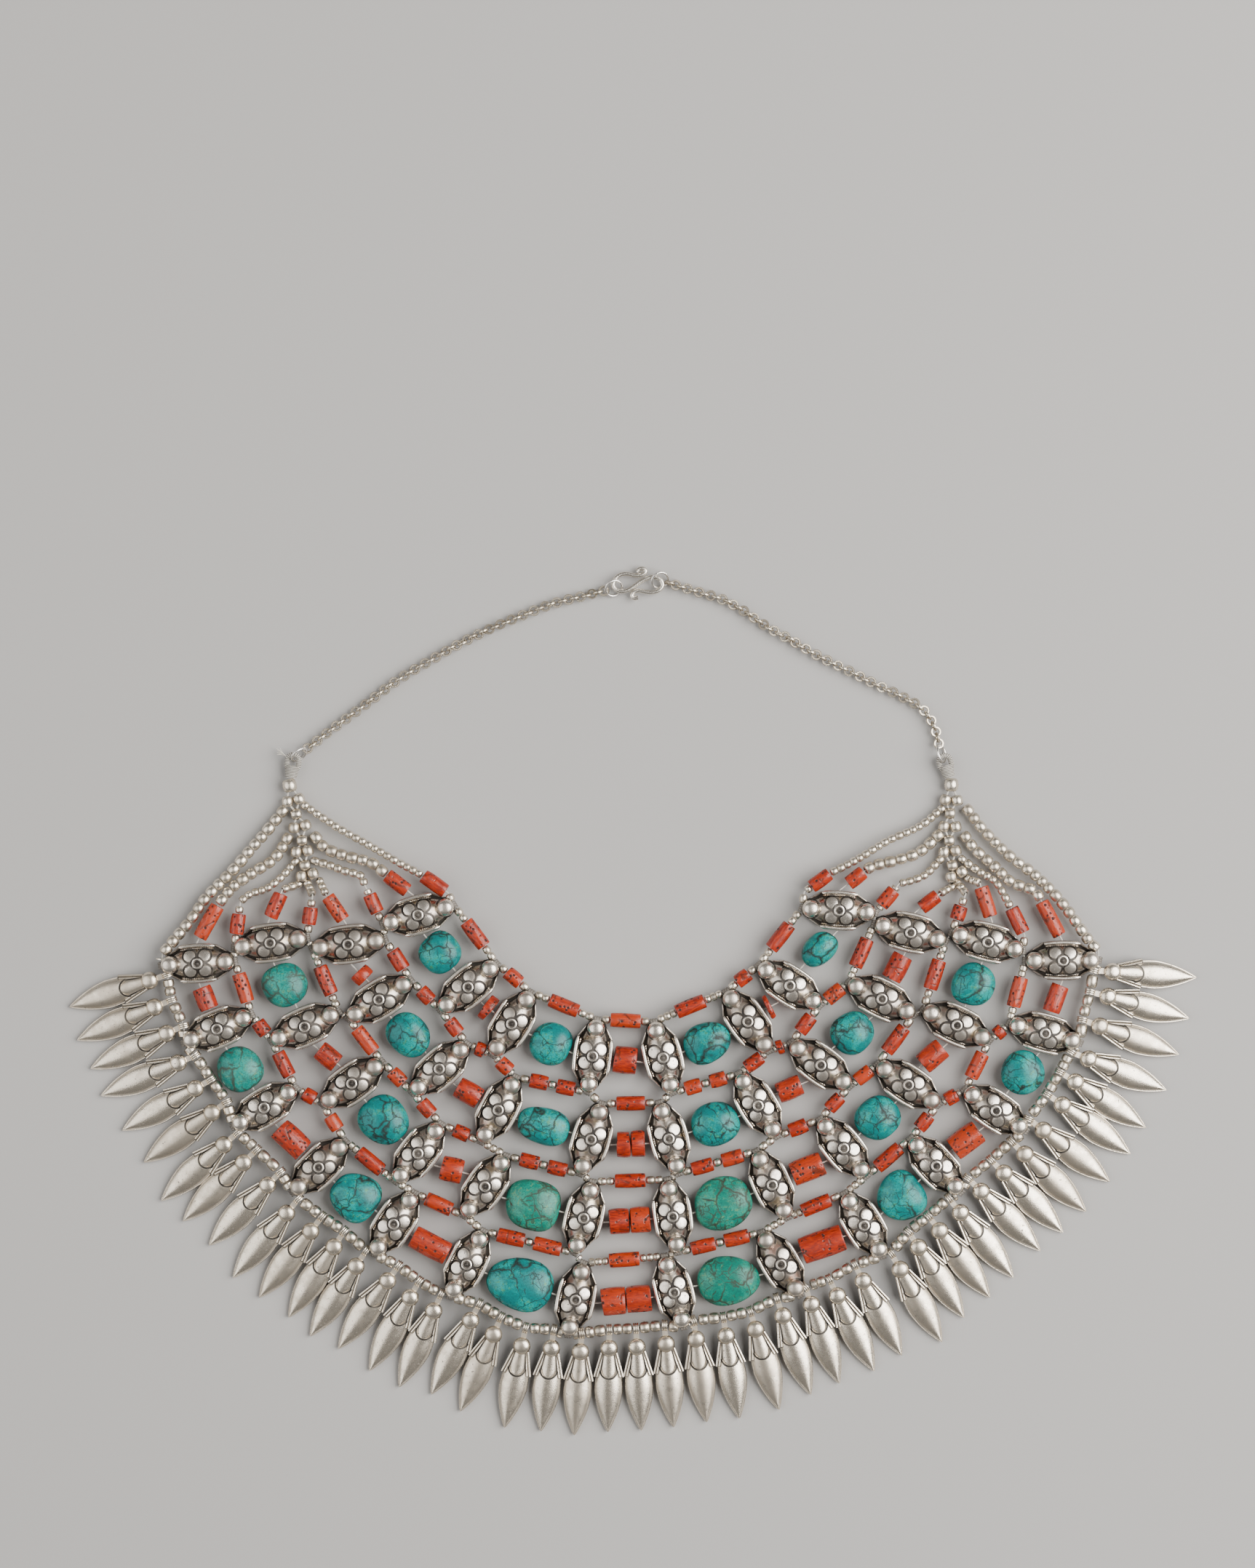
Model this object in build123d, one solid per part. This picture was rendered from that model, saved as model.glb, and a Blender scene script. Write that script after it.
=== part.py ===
"""A chunky bib necklace lying flat: four rows of flower beads carry turquoise and
coral between them, five edge strands run through the ends of the flower beads,
leaf pendants hang from the outermost strand, and two chains close the neck loop
with an S-hook. +X runs across the bib from left to right, +Y towards the closing
hook and +Z up from the table. The origin is on the table under the middle."""

import os
from math import atan2, cos, degrees, radians, sin, sqrt, tan

from build123d import *

# Flower bead, in millimetres
dome_spacing = 15.4
dome_diameter = 4.7
dome_top = 8.0
dome_foot = 5.9
dome_post_diameter = 1.6
bead_width = 11.0
rim_length = 9.8
rim_radius = 0.55
rim_height = 5.4
wall_thickness = 0.6
tray_height = 1.8
tray_wall = 0.4
floor_thickness = 0.6
barrel_radius = 4.3
barrel_straight = 7.0
barrel_length = 14.0
barrel_end_radius = 2.2
barrel_axis_height = 2.7
petal_diameter = 3.2
petal_reach = 2.05
petal_drop = 0.1
eye_diameter = 3.0
eye_rise = 0.3
granule_diameter = 1.1

# Ribbed end tube of a flower bead
tube_reach = 2.4
tube_length = 2.0
tube_diameter = 1.9

# Threads and the seed beads on them
thread_diameter = 0.45
bore_diameter = 1.4
thread_height = 4.2
seed_diameter = 2.3
large_seed_diameter = 3.2
seed_length = 2.2
bead_gap = 0.2

# Coral and turquoise
strand_coral_diameter = 4.2
strand_coral_longest = 8.4
strand_coral_shortest = 4.0
dome_clearance = 2.45
coral_chamfer = 0.35
stone_thickness = 8.0
stone_gap = 0.3

# Leaf pendant
bail_diameter = 3.2
bail_width = 1.6
pendant_dome_reach = 5.1
pendant_dome_diameter = 4.8
pendant_dome_rise = 2.3
pendant_length = 29.0
leaf_width = 7.0
leaf_base_width = 3.8
leaf_edge_thickness = 0.7
leaf_ridge_rise = 1.4
pendant_back_drop = 1.2
shield_length = 7.8
shield_width = 4.0
shield_relief = 0.35
side_wire_length = 7.8
side_wire_width = 0.9
side_wire_angle = 17
neck_width = 1.0
table_gap = 0.05

# Woven columns, thread loops, rings, chain and hook
column_bead_diameter = 3.2
column_top_bead_diameter = 4.0
column_core_diameter = 2.2
terminal_height = 2.1
loop_thread_diameter = 1.55
loop_arch_radius = 1.6
wrap_length = 3.4
ring_radius = 2.35
ring_wire_diameter = 0.7
loop_ring_lean = 62
hook_ring_slope = 33
chain_width = 2.8
hook_wire_diameter = 1.2
link_gap = 0.15

# Every place below is in hundredths of the pitch, the distance between the two
# end tubes of a flower bead, so the whole net follows the bead's own length.
pitch = dome_spacing + 2 * tube_reach
unit = pitch / 100

# Flower beads of each row from left to right: x, y, and the angle in degrees
# from the outer end to the end that faces the neck.
flower_rows = [
    [
        (-291, 120, 16), (-223, 22, 40), (-164, -28, 59), (-54, -72, 83),
        (42, -74, 104), (157, -25, 125), (214, 24, 146), (281, 126, 177),
    ],
    [
        (-386, 80, 8), (-344, 5, 31), (-262, -89, 41), (-182, -145, 61), (-56, -185, 72),
        (50, -184, 106), (171, -139, 121), (256, -84, 143), (339, 6, 153), (378, 96, 167),
    ],
    [
        (-492, 82, 7), (-445, -32, 23), (-381, -109, 35), (-291, -204, 51),
        (-200, -249, 54), (-66, -292, 75), (55, -290, 99), (190, -247, 116),
        (287, -197, 130), (375, -111, 146), (441, -30, 154), (483, 83, 165),
    ],
    [
        (-591, 54, 4), (-564, -35, 22), (-500, -142, 31), (-426, -223, 45),
        (-324, -300, 57), (-225, -355, 62), (-77, -403, 77), (57, -393, 106),
        (202, -355, 121), (315, -302, 121), (413, -221, 134), (494, -146, 147),
        (561, -41, 164), (585, 58, 181),
    ],
]

# Stones between the flower beads of each row: kind, width across the thread in
# millimetres, and the share of the free space that the stone's length takes.
row_stones = [
    [
        ("turquoise", 12.0, 1), ("coral", 7.6, 0.9), ("turquoise", 12.0, 1), ("coral", 7.6, 1),
        ("turquoise", 11.8, 1), ("coral", 7.0, 0.9), ("turquoise", 8.4, 1),
    ],
    [
        ("coral", 5.9, 1), ("turquoise", 12.0, 1), ("coral", 6.4, 1), ("turquoise", 11.0, 1),
        ("coral pair", 7.4, 1), ("turquoise", 12.4, 1), ("coral", 6.2, 1),
        ("turquoise", 12.2, 1), ("coral", 5.8, 1),
    ],
    [
        ("turquoise", 12.6, 1), ("coral", 6.0, 1), ("turquoise", 13.2, 1), ("coral", 7.2, 1),
        ("turquoise", 14.8, 1), ("coral pair", 7.2, 1), ("turquoise", 14.6, 1),
        ("coral", 7.0, 1), ("turquoise", 12.6, 1), ("coral", 6.6, 1), ("turquoise", 12.4, 1),
    ],
    [
        ("coral", 5.6, 1), ("turquoise", 12.4, 1), ("coral", 7.0, 1), ("turquoise", 13.4, 1),
        ("coral", 6.8, 1), ("turquoise", 14.6, 1), ("coral pair", 7.8, 1),
        ("turquoise", 14.4, 1), ("coral", 7.8, 1), ("turquoise", 13.8, 1),
        ("coral", 7.4, 1), ("turquoise", 12.2, 1), ("coral", 5.2, 1),
    ],
]

# Beading order of each edge strand from left to right. i3 is the inner end of
# bead 3 in this strand's own row, o3 the outer end of bead 3 in the row above,
# p3 the bail of pendant 3, b3 the third of the bends between a coral and a tube,
# C a coral and CsC two corals with a seed between.
beading_order = [
    "C b1 i1 C i2 C i3 C i4 C i5 C i6 C i7 C i8 b2 C",
    "C o1 i1 C i2 C o2 C i3 C o3 C i4 CsC o4 i5 C i6 o5 CsC i7 C o6 C i8 C o7 C i9 C i10 o8 C",
    "C i1 o1 C i2 o2 C i3 C o3 C i4 C o4 i5 CsC o5 i6 C i7 o6 CsC i8 o7 C i9 C o8 C i10 C"
    " o9 i11 C o10 i12 C",
    "C o1 i1 C i2 C o2 C i3 C o3 C i4 C o4 i5 C o5 i6 CsC o6 i7 C i8 o7 CsC i9 o8 C i10 o9"
    " C i11 C o10 C i12 C o11 C i13 C i14 o12 b3 C",
    "o1 p1 p2 p3 o2 p4 p5 p6 o3 p7 p8 p9 o4 p10 p11 p12 p13 o5 p14 p15 p16 o6 p17 p18 p19"
    " p20 o7 p21 p22 p23 p24 o8 p25 p26 p27 p28 o9 p29 p30 p31 o10 p32 p33 p34 p35 o11 p36"
    " p37 p38 o12 p39 p40 p41 p42 o13 p43 p44 p45 o14",
]

# Bends of the edge strands between their last coral and their last tube.
strand_bends = [(-251, 150), (234, 151), (534, 92)]

# Pendants along the outermost strand: x and y of the bail, and the bearing in
# degrees in which the leaf points.
pendants = [
    (-633, 38, -162), (-627, 4, -157), (-611, -31, -155), (-595, -72, -157),
    (-573, -104, -150), (-552, -135, -144), (-537, -176, -138), (-511, -200, -136),
    (-479, -230, -134), (-454, -267, -130), (-422, -291, -128), (-392, -311, -123),
    (-362, -337, -123), (-318, -358, -126), (-290, -379, -119), (-260, -396, -114),
    (-208, -410, -118), (-179, -428, -113), (-145, -442, -102), (-107, -445, -97),
    (-69, -450, -94), (-31, -445, -91), (5, -443, -87), (44, -439, -85),
    (84, -433, -83), (124, -428, -81), (161, -420, -74), (197, -402, -71),
    (236, -387, -71), (268, -376, -64), (303, -356, -63), (352, -341, -60),
    (376, -312, -57), (403, -290, -53), (431, -266, -51), (457, -239, -45),
    (488, -214, -45), (516, -189, -43), (540, -158, -38), (565, -124, -36),
    (582, -94, -33), (598, -67, -22), (613, -23, -20), (623, 15, -15), (629, 44, -4),
]
pendants_on_the_left = 22

# Fans of seed beads from the woven columns to the first coral of each thread,
# with the seed bead diameter that each fan has.
edge_fans_left = [
    (seed_diameter, [(-442, 266), (-402, 239), (-359, 215), (-318, 191), (-286, 174)]),
    (seed_diameter, [(-429, 192), (-412, 187), (-391, 179), (-370, 173), (-364, 160)]),
    (seed_diameter, [(-441, 159), (-435, 147)]),
    (seed_diameter, [(-462, 189), (-478, 171), (-497, 156), (-520, 148), (-533, 138)]),
    (large_seed_diameter, [
        (-478, 259), (-497, 235), (-518, 211), (-539, 186), (-561, 163), (-582, 141),
        (-600, 114), (-620, 90), (-639, 67),
    ]),
]
edge_fans_right = [
    (seed_diameter, [(418, 261), (391, 240), (347, 220), (304, 194), (270, 177)]),
    (seed_diameter, [(417, 192), (399, 174), (376, 165), (364, 163)]),
    (seed_diameter, [(446, 160), (454, 149)]),
    (seed_diameter, [(453, 193), (474, 178), (496, 163), (515, 130)]),
    (large_seed_diameter, [
        (459, 261), (479, 235), (513, 201), (552, 171), (585, 136), (621, 86), (634, 72),
    ]),
]
row_fans_left = [
    (large_seed_diameter, [(-430, 224), (-417, 210), (-387, 199), (-356, 191), (-335, 175)]),
    (seed_diameter, [(-424, 162), (-417, 148)]),
    (seed_diameter, [(-459, 160), (-476, 154)]),
    (large_seed_diameter, [(-471, 222), (-488, 196), (-517, 177), (-543, 158), (-563, 134)]),
]
row_fans_right = [
    (large_seed_diameter, [(415, 226), (391, 205), (360, 194), (330, 187), (317, 180)]),
    (seed_diameter, [(433, 156), (419, 149)]),
    (seed_diameter, [(461, 168), (473, 163)]),
    (large_seed_diameter, [(456, 224), (468, 208), (493, 186), (517, 164), (546, 153), (556, 140)]),
]

# The woven columns, from the bead under the thread loop down to the last pair.
column_left = [
    (-467, 296), (-462, 276), (-458, 257), (-453, 240), (-450, 221), (-450, 206),
    (-446, 187), (-443, 174),
]
column_right = [
    (435, 297), (435, 276), (433, 258), (433, 240), (432, 221), (433, 206), (436, 187), (442, 175),
]

# Arch centres of the thread loops, and the chains between the loop rings and
# the hook rings.
loop_arch_left = (-462, 330)
loop_arch_right = (426, 329)
chain_left = [
    (-405, 376), (-363, 407), (-321, 439), (-278, 465), (-236, 489), (-193, 510),
    (-150, 528), (-108, 544), (-68, 554),
]
chain_right = [
    (411, 378), (395, 401), (364, 419), (328, 436), (292, 454), (255, 472), (219, 493),
    (183, 513), (152, 534), (122, 550), (83, 562),
]

# The S-hook's wire from one curled end to the other, and its two rings: the
# middle of each and the bearing in degrees in which it rises over the wire.
hook_route = [
    (6, 588), (10, 592), (16, 592), (19, 588), (15, 584), (9, 582), (1, 583), (-8, 585),
    (-16, 584), (-23, 579), (-27, 570), (-23, 563), (-15, 560), (-6, 562), (3, 568),
    (11, 574), (19, 578), (26, 581), (34, 580), (40, 576), (42, 569), (38, 563), (32, 560),
    (23, 559), (14, 561), (6, 562), (1, 559), (-1, 555), (2, 551), (8, 552),
]
hook_ring_left = (-25, 565, 123)
hook_ring_right = (38, 576, 124)


def place(x, y, height=thread_height):
    """A point of the net from its hundredths of the pitch."""
    return Vector(x * unit, y * unit, height)


def corner_radii(points, longest_tangents=None):
    """The largest fillet that the runs beside each corner of a route allow."""
    radii = []
    for index in range(1, len(points) - 1):
        before = points[index] - points[index - 1]
        after = points[index + 1] - points[index]
        half_turn = radians(max(before.get_angle(after), 0.5)) / 2
        tangent = 0.45 * min(before.length, after.length)
        if longest_tangents:
            tangent = min(tangent, longest_tangents[index])
        radii.append(tangent / tan(half_turn))
    return radii


def round_tube(points, diameter, longest_tangents=None):
    """A round tube along straight runs joined by tangent arcs."""
    if len(points) == 2:
        run = points[1] - points[0]
        return along((points[0] + points[1]) * 0.5, run, run.length, diameter / 2)
    route = FilletPolyline(*points, radius=corner_radii(points, longest_tangents))
    start = points[1] - points[0]
    section = Plane(origin=points[0], z_dir=start) * Circle(diameter / 2)
    return sweep(section, path=route)


def along(point, direction, length, radius):
    """A cylinder centred on a point with its axis along a direction."""
    start = point - direction.normalized() * (length / 2)
    return extrude(Plane(origin=start, z_dir=direction) * Circle(radius), length)


def turned_profile(length, radius_at_ends, radius_at_middle, chamfer=0.0):
    """A turned bead about the X axis: a bowed side between two flat ends."""
    half = length / 2
    bevel = min(chamfer, length / 8)
    shoulder = half - bevel
    outline = ThreePointArc(
        (-shoulder, radius_at_ends), (0, radius_at_middle), (shoulder, radius_at_ends)
    )
    rim = [(half, radius_at_ends - bevel)] if bevel > 0 else []
    back_rim = [(-half, radius_at_ends - bevel)] if bevel > 0 else []
    outline += Polyline(
        (shoulder, radius_at_ends), *rim, (half, 0), (-half, 0), *back_rim, (-shoulder, radius_at_ends)
    )
    return revolve(make_face(outline), Axis.X)


def octagon(inset):
    """The long octagon of a flower bead's tray, drawn inwards by an inset."""
    tip_x = dome_spacing / 2 + dome_diameter / 2 - 0.3 - inset
    side_y = bead_width / 2 - rim_radius - inset
    rim_x = rim_length / 2 - inset / 3
    tip_y = tube_length * 0.85 - inset / 3
    corners = [
        (tip_x, tip_y), (rim_x, side_y), (-rim_x, side_y), (-tip_x, tip_y),
        (-tip_x, -tip_y), (-rim_x, -side_y), (rim_x, -side_y), (tip_x, -tip_y),
    ]
    return make_face(Polyline(*corners, close=True))


def domed_post(diameter, foot, shoulder, top):
    """A round post about the Z axis with a domed head."""
    radius = diameter / 2
    rise = top - shoulder
    ball_radius = (radius**2 + rise**2) / (2 * rise)
    post = Pos(0, 0, foot) * Cylinder(
        radius, top - foot, align=(Align.CENTER, Align.CENTER, Align.MIN)
    )
    return post & (Pos(0, 0, top - ball_radius) * Sphere(ball_radius))


def flower_bead_body():
    """One flower bead along X without its end tubes, its back on the table."""
    upright = (Align.CENTER, Align.CENTER, Align.MIN)
    tray = extrude(octagon(0), tray_height)
    tray -= Pos(0, 0, floor_thickness) * extrude(octagon(tray_wall), tray_height)
    barrel_half = barrel_length / 2
    outline = Polyline(
        (-barrel_half, 0), (-barrel_half, barrel_end_radius), (-barrel_straight / 2, barrel_radius),
        (barrel_straight / 2, barrel_radius), (barrel_half, barrel_end_radius), (barrel_half, 0),
        close=True,
    )
    barrel = Pos(0, 0, barrel_axis_height) * revolve(make_face(outline), Axis.X)
    barrel &= Pos(0, 0, floor_thickness / 2) * Box(
        pitch, bead_width, 4 * barrel_radius, align=upright
    )
    body = tray + barrel
    rim_y = bead_width / 2 - rim_radius
    for side in (-1, 1):
        body += Pos(0, side * rim_y, 0) * Box(rim_length, wall_thickness, rim_height, align=upright)
        body += along(Vector(0, side * rim_y, rim_height), Vector(1, 0, 0), rim_length, rim_radius)
    shoulder = dome_foot + 0.1
    barrel_top = barrel_axis_height + barrel_radius
    for end in (-1, 1):
        dome_x = end * dome_spacing / 2
        body += Pos(dome_x, 0, 0) * domed_post(dome_diameter, dome_foot, shoulder, dome_top)
        body += Pos(dome_x, 0, floor_thickness / 2) * Cylinder(
            dome_post_diameter / 2, dome_foot, align=upright
        )
        for side in (-1, 1):
            body += Pos(end * petal_reach, side * petal_reach, 0) * Cylinder(
                petal_diameter / 2, barrel_top - petal_drop, align=upright
            )
        neck_start = dome_x + end * dome_post_diameter * 0.3
        neck_end = end * (pitch / 2 - bore_diameter / 2)
        body += Pos((neck_start + neck_end) / 2, 0, thread_height) * Box(
            abs(neck_end - neck_start), tube_length * 0.6, tube_diameter * 0.8
        )
    body += Cylinder(eye_diameter / 2, barrel_top + eye_rise, align=upright)
    body += Pos(0, 0, barrel_top + eye_rise) * Sphere(granule_diameter / 2)
    return body - along(Vector(0, 0, thread_height), Vector(0, 1, 0), 2 * bead_width, bore_diameter / 2)


def bead_end(row, number, end):
    """The end tube of a flower bead: 1 is the end that faces the neck, -1 the outer one."""
    x, y, angle = flower_rows[row - 1][number - 1]
    middle = place(x, y)
    reach = end * pitch / 2
    return middle + Vector(cos(radians(angle)), sin(radians(angle)), 0) * reach


def knot_point(strand, name):
    """The point at which an edge strand passes a named tube or bail."""
    number = int(name[1:])
    if name[0] == "i":
        return bead_end(strand, number, 1)
    if name[0] == "o":
        return bead_end(strand - 1, number, -1)
    if name[0] == "b":
        return place(*strand_bends[number - 1])
    x, y, _ = pendants[number - 1]
    return place(x, y)


def fan_points(fan):
    """A fan's route, rising evenly from the woven column to the thread's own height."""
    points = fan[1]
    last = len(points) - 1
    return [
        place(x, y, terminal_height + (thread_height - terminal_height) * index / last)
        for index, (x, y) in enumerate(points)
    ]


def knots(strand):
    """Names, places and passing directions of an edge strand's tubes and bails."""
    names = [word for word in beading_order[strand - 1].split() if word[0] in "iopb"]
    first = fan_points(edge_fans_left[strand - 1])[-1]
    last = fan_points(edge_fans_right[strand - 1])[-1]
    points = [knot_point(strand, name) for name in names]
    ring = [first] + points + [last]
    passing = {}
    for index, name in enumerate(names, start=1):
        before = (ring[index] - ring[index - 1]).normalized()
        after = (ring[index + 1] - ring[index]).normalized()
        passing[name] = (ring[index], (before + after).normalized())
    return names, points, passing


knot_sizes = {
    "i": (tube_length, tube_diameter),
    "o": (tube_length, tube_diameter),
    "p": (bail_width, bail_diameter),
    "b": (0, strand_coral_diameter),
}


def half_width_on_run(length, diameter, angle):
    """How far a short round tube reaches along a run that leaves it at an angle."""
    lean = radians(angle)
    return length / 2 * cos(lean) + diameter / 2 * sin(lean)


def strand_runs(strand):
    """Each straight run of an edge strand: start, end, what is on it and its free ends."""
    words = beading_order[strand - 1].split()
    names, points, passing = knots(strand)
    stops = [fan_points(edge_fans_left[strand - 1])[-1]] + points
    stops.append(fan_points(edge_fans_right[strand - 1])[-1])
    codes = [""] * (len(stops) - 1)
    passed = 0
    for word in words:
        if word[0] == "C":
            codes[passed] = word
        else:
            passed += 1
    runs = []
    for index, code in enumerate(codes):
        start = stops[index]
        end = stops[index + 1]
        clear = []
        for knot in (index - 1, index):
            if knot < 0 or knot == len(names):
                fan = (edge_fans_left if knot < 0 else edge_fans_right)[strand - 1]
                beads = fan_points(fan)
                angle = (beads[-1] - beads[-2]).get_angle((end - start) * (1 if knot < 0 else -1))
                clear.append(half_width_on_run(0, fan[0], angle))
                continue
            angle = passing[names[knot]][1].get_angle(end - start)
            length, diameter = knot_sizes[names[knot][0]]
            clear.append(half_width_on_run(length, diameter, angle))
        runs.append((start, end, code, clear[0], clear[1]))
    return runs


def fill(start, end, code, clear_start, clear_end):
    """Corals and seed lengths on one straight run: (kind, from, to) along it."""
    run = (end - start).length
    low = clear_start + bead_gap
    high = run - clear_end - bead_gap
    if code == "":
        return [("seeds", low, high)] if high - low > seed_length / 3 else []
    corals = code.count("C")
    between = seed_length if corals > 1 else 0
    first = max(low, dome_clearance) if clear_start > tube_length / 3 else low
    last = min(high, run - dome_clearance) if clear_end > tube_length / 3 else high
    shared = (corals - 1) * (between + 2 * bead_gap)
    room = (last - first - shared) / corals
    spare = (high - low - 2 * (seed_length + bead_gap) - shared) / corals
    coral = min(room, strand_coral_longest)
    if spare > strand_coral_shortest:
        coral = min(spare, strand_coral_longest)
    block = corals * coral + shared
    at = (low + high - block) / 2
    at = min(max(at, first), last - block)
    pieces = []
    if at - bead_gap - low > seed_length / 3:
        pieces.append(("seeds", low, at - bead_gap))
    for index in range(corals):
        pieces.append(("coral", at, at + coral))
        at += coral
        if index < corals - 1:
            pieces.append(("seeds", at + bead_gap, at + bead_gap + between))
            at += between + 2 * bead_gap
    if high - at - bead_gap > seed_length / 3:
        pieces.append(("seeds", at + bead_gap, high))
    return pieces


def edge_string(strand):
    """The thread of an edge strand with its seed beads as one string."""
    left = fan_points(edge_fans_left[strand - 1])
    right = fan_points(edge_fans_right[strand - 1])
    names, points, _ = knots(strand)
    into_left = left[-1] + (left[-2] - left[-1]).normalized() * seed_diameter / 2
    into_right = right[-1] + (right[-2] - right[-1]).normalized() * seed_diameter / 2
    route = [into_left, left[-1]] + points + [right[-1], into_right]
    in_knot = [max(0.45 * knot_sizes[name[0]][0], bead_gap) for name in names]
    tangents = [0, bead_gap] + in_knot + [bead_gap, 0]
    pieces = [round_tube(route, thread_diameter, tangents)]
    pieces.append(round_tube(left, edge_fans_left[strand - 1][0]))
    pieces.append(round_tube(right, edge_fans_right[strand - 1][0]))
    diameter = large_seed_diameter if strand == 5 else seed_diameter
    for start, end, code, clear_start, clear_end in strand_runs(strand):
        direction = (end - start).normalized()
        for kind, low, high in fill(start, end, code, clear_start, clear_end):
            if kind == "seeds":
                middle = start + direction * ((low + high) / 2)
                pieces.append(along(middle, direction, high - low, diameter / 2))
    return pieces[0].fuse(*pieces[1:])


def bored_bead(start, end, low, high, radius_at_ends, radius_at_middle, chamfer):
    """A turned bead between two stations of a run, drilled along the run."""
    direction = (end - start).normalized()
    middle = start + direction * ((low + high) / 2)
    bead = turned_profile(high - low, radius_at_ends, radius_at_middle, chamfer)
    bead = Plane(origin=middle, x_dir=direction, z_dir=(0, 0, 1)) * bead
    return bead - along(middle, direction, 2 * (high - low), bore_diameter / 2)


def strand_corals(strand):
    """The corals of one edge strand."""
    radius = strand_coral_diameter / 2
    corals = []
    for start, end, code, clear_start, clear_end in strand_runs(strand):
        for kind, low, high in fill(start, end, code, clear_start, clear_end):
            if kind == "coral":
                corals.append(
                    bored_bead(start, end, low, high, radius * 0.94, radius, coral_chamfer)
                )
    return corals


def flower_beads(row):
    """The flower beads of one row with their end tubes turned to the strands."""
    body = flower_bead_body()
    inner = knots(row)[2]
    outer = knots(row + 1)[2]
    beads = []
    for number, (x, y, angle) in enumerate(flower_rows[row - 1], start=1):
        bead = Pos(x * unit, y * unit, 0) * Rot(0, 0, angle) * body
        for point, direction in (inner[f"i{number}"], outer[f"o{number}"]):
            bead += along(point, direction, tube_length, tube_diameter / 2)
        for point, direction in (inner[f"i{number}"], outer[f"o{number}"]):
            bead -= along(point, direction, tube_length * 2.2, bore_diameter / 2)
        beads.append(bead)
    return beads


def row_mouths(row):
    """The two mouths of each flower bead's cross bore, from left to right."""
    mouths = []
    for x, y, angle in flower_rows[row - 1]:
        across = Vector(sin(radians(angle)), -cos(radians(angle)), 0)
        if across.dot(Vector(1, -0.2 if x < 0 else 0.2, 0)) < 0:
            across = -across
        reach = across * (bead_width / 2 + 0.1)
        middle = place(x, y)
        mouths.append((middle - reach, middle + reach, across))
    return mouths


def row_gaps(row):
    """Each free run of a row string: its two ends and how the bead walls stand to it."""
    mouths = row_mouths(row)
    gaps = []
    for left, right in zip(mouths, mouths[1:]):
        run = (right[0] - left[1]).normalized()
        gaps.append((left[1], right[0], run.get_angle(left[2]), run.get_angle(right[2])))
    return gaps


def half_length_of_coral(reach, radius, angle):
    """Half the coral that fits a run whose end wall leans by an angle."""
    lean = radians(angle)
    return reach - (stone_gap + radius * sin(lean)) / cos(lean)


def half_length_of_pebble(reach, radius, angle):
    """Half the pebble that fits a run whose end wall leans by an angle."""
    lean = radians(angle)
    free = reach * cos(lean) - stone_gap
    return sqrt(max(free**2 - (radius * sin(lean)) ** 2, (0.3 * reach) ** 2)) / cos(lean)


def row_corals(row):
    """The large corals between the flower beads, and the two that lead each row."""
    corals = []
    for gap, (kind, width, share) in zip(row_gaps(row), row_stones[row - 1]):
        start, end, lean_start, lean_end = gap
        if kind == "turquoise":
            continue
        run = (end - start).length
        end_radius = width / 2 * 0.9
        first = run / 2 - half_length_of_coral(run / 2, width / 2, lean_start)
        last = run / 2 + half_length_of_coral(run / 2, width / 2, lean_end)
        trim = (last - first) * (1 - share) / 2
        spans = [(first + trim, last - trim)]
        if kind == "coral pair":
            middle = (first + last) / 2
            spans = [(first, middle - bead_gap / 2), (middle + bead_gap / 2, last)]
        for low, high in spans:
            corals.append(bored_bead(start, end, low, high, end_radius, width / 2, coral_chamfer * 2))
    mouths = row_mouths(row)
    for fan, mouth, across in (
        (row_fans_left[row - 1], mouths[0][0], mouths[0][2]),
        (row_fans_right[row - 1], mouths[-1][1], -mouths[-1][2]),
    ):
        beads = fan_points(fan)
        start = beads[-1]
        bend = radians((beads[-1] - beads[-2]).get_angle(mouth - start))
        first = bead_gap + fan[0] / 2 * sin(bend)
        run = (mouth - start).length
        radius = strand_coral_diameter / 2
        lean = (mouth - start).get_angle(across)
        last = run / 2 + half_length_of_coral(run / 2, radius, lean)
        corals.append(
            bored_bead(start, mouth, first, last, radius * 0.94, radius, coral_chamfer)
        )
    return corals


def turquoise_stones(row):
    """The turquoise pebbles of one row: flattened egg shapes drilled along the thread."""
    stones = []
    for gap, (kind, width, share) in zip(row_gaps(row), row_stones[row - 1]):
        start, end, lean_start, lean_end = gap
        if kind != "turquoise":
            continue
        reach = (end - start).length / 2
        lean = max(lean_start, lean_end)
        half = half_length_of_pebble(reach, width / 2, lean) * share
        direction = (end - start).normalized()
        middle = (start + end) * 0.5
        pebble = scale(Rot(0, 90, 0) * Sphere(1), by=(half * 1.04, width / 2, stone_thickness / 2))
        pebble &= Box(2 * half, 2 * width, 2 * stone_thickness)
        pebble -= along(Vector(0, 0, 0), Vector(1, 0, 0), 4 * half, bore_diameter / 2)
        stones.append(Plane(origin=middle, x_dir=direction, z_dir=(0, 0, 1)) * pebble)
    return stones


def row_string(row):
    """The thread through the middles of one row, with the seed beads of its two fans."""
    left = fan_points(row_fans_left[row - 1])
    right = fan_points(row_fans_right[row - 1])
    into_left = left[-1] + (left[-2] - left[-1]).normalized() * seed_diameter / 2
    into_right = right[-1] + (right[-2] - right[-1]).normalized() * seed_diameter / 2
    route = [into_left, left[-1]]
    for enter, leave, _ in row_mouths(row):
        route += [enter, leave]
    route += [right[-1], into_right]
    tangents = [bead_gap] * len(route)
    thread = round_tube(route, thread_diameter, tangents)
    fans = [
        round_tube(left, row_fans_left[row - 1][0]),
        round_tube(right, row_fans_right[row - 1][0]),
    ]
    return thread.fuse(*fans)


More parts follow.
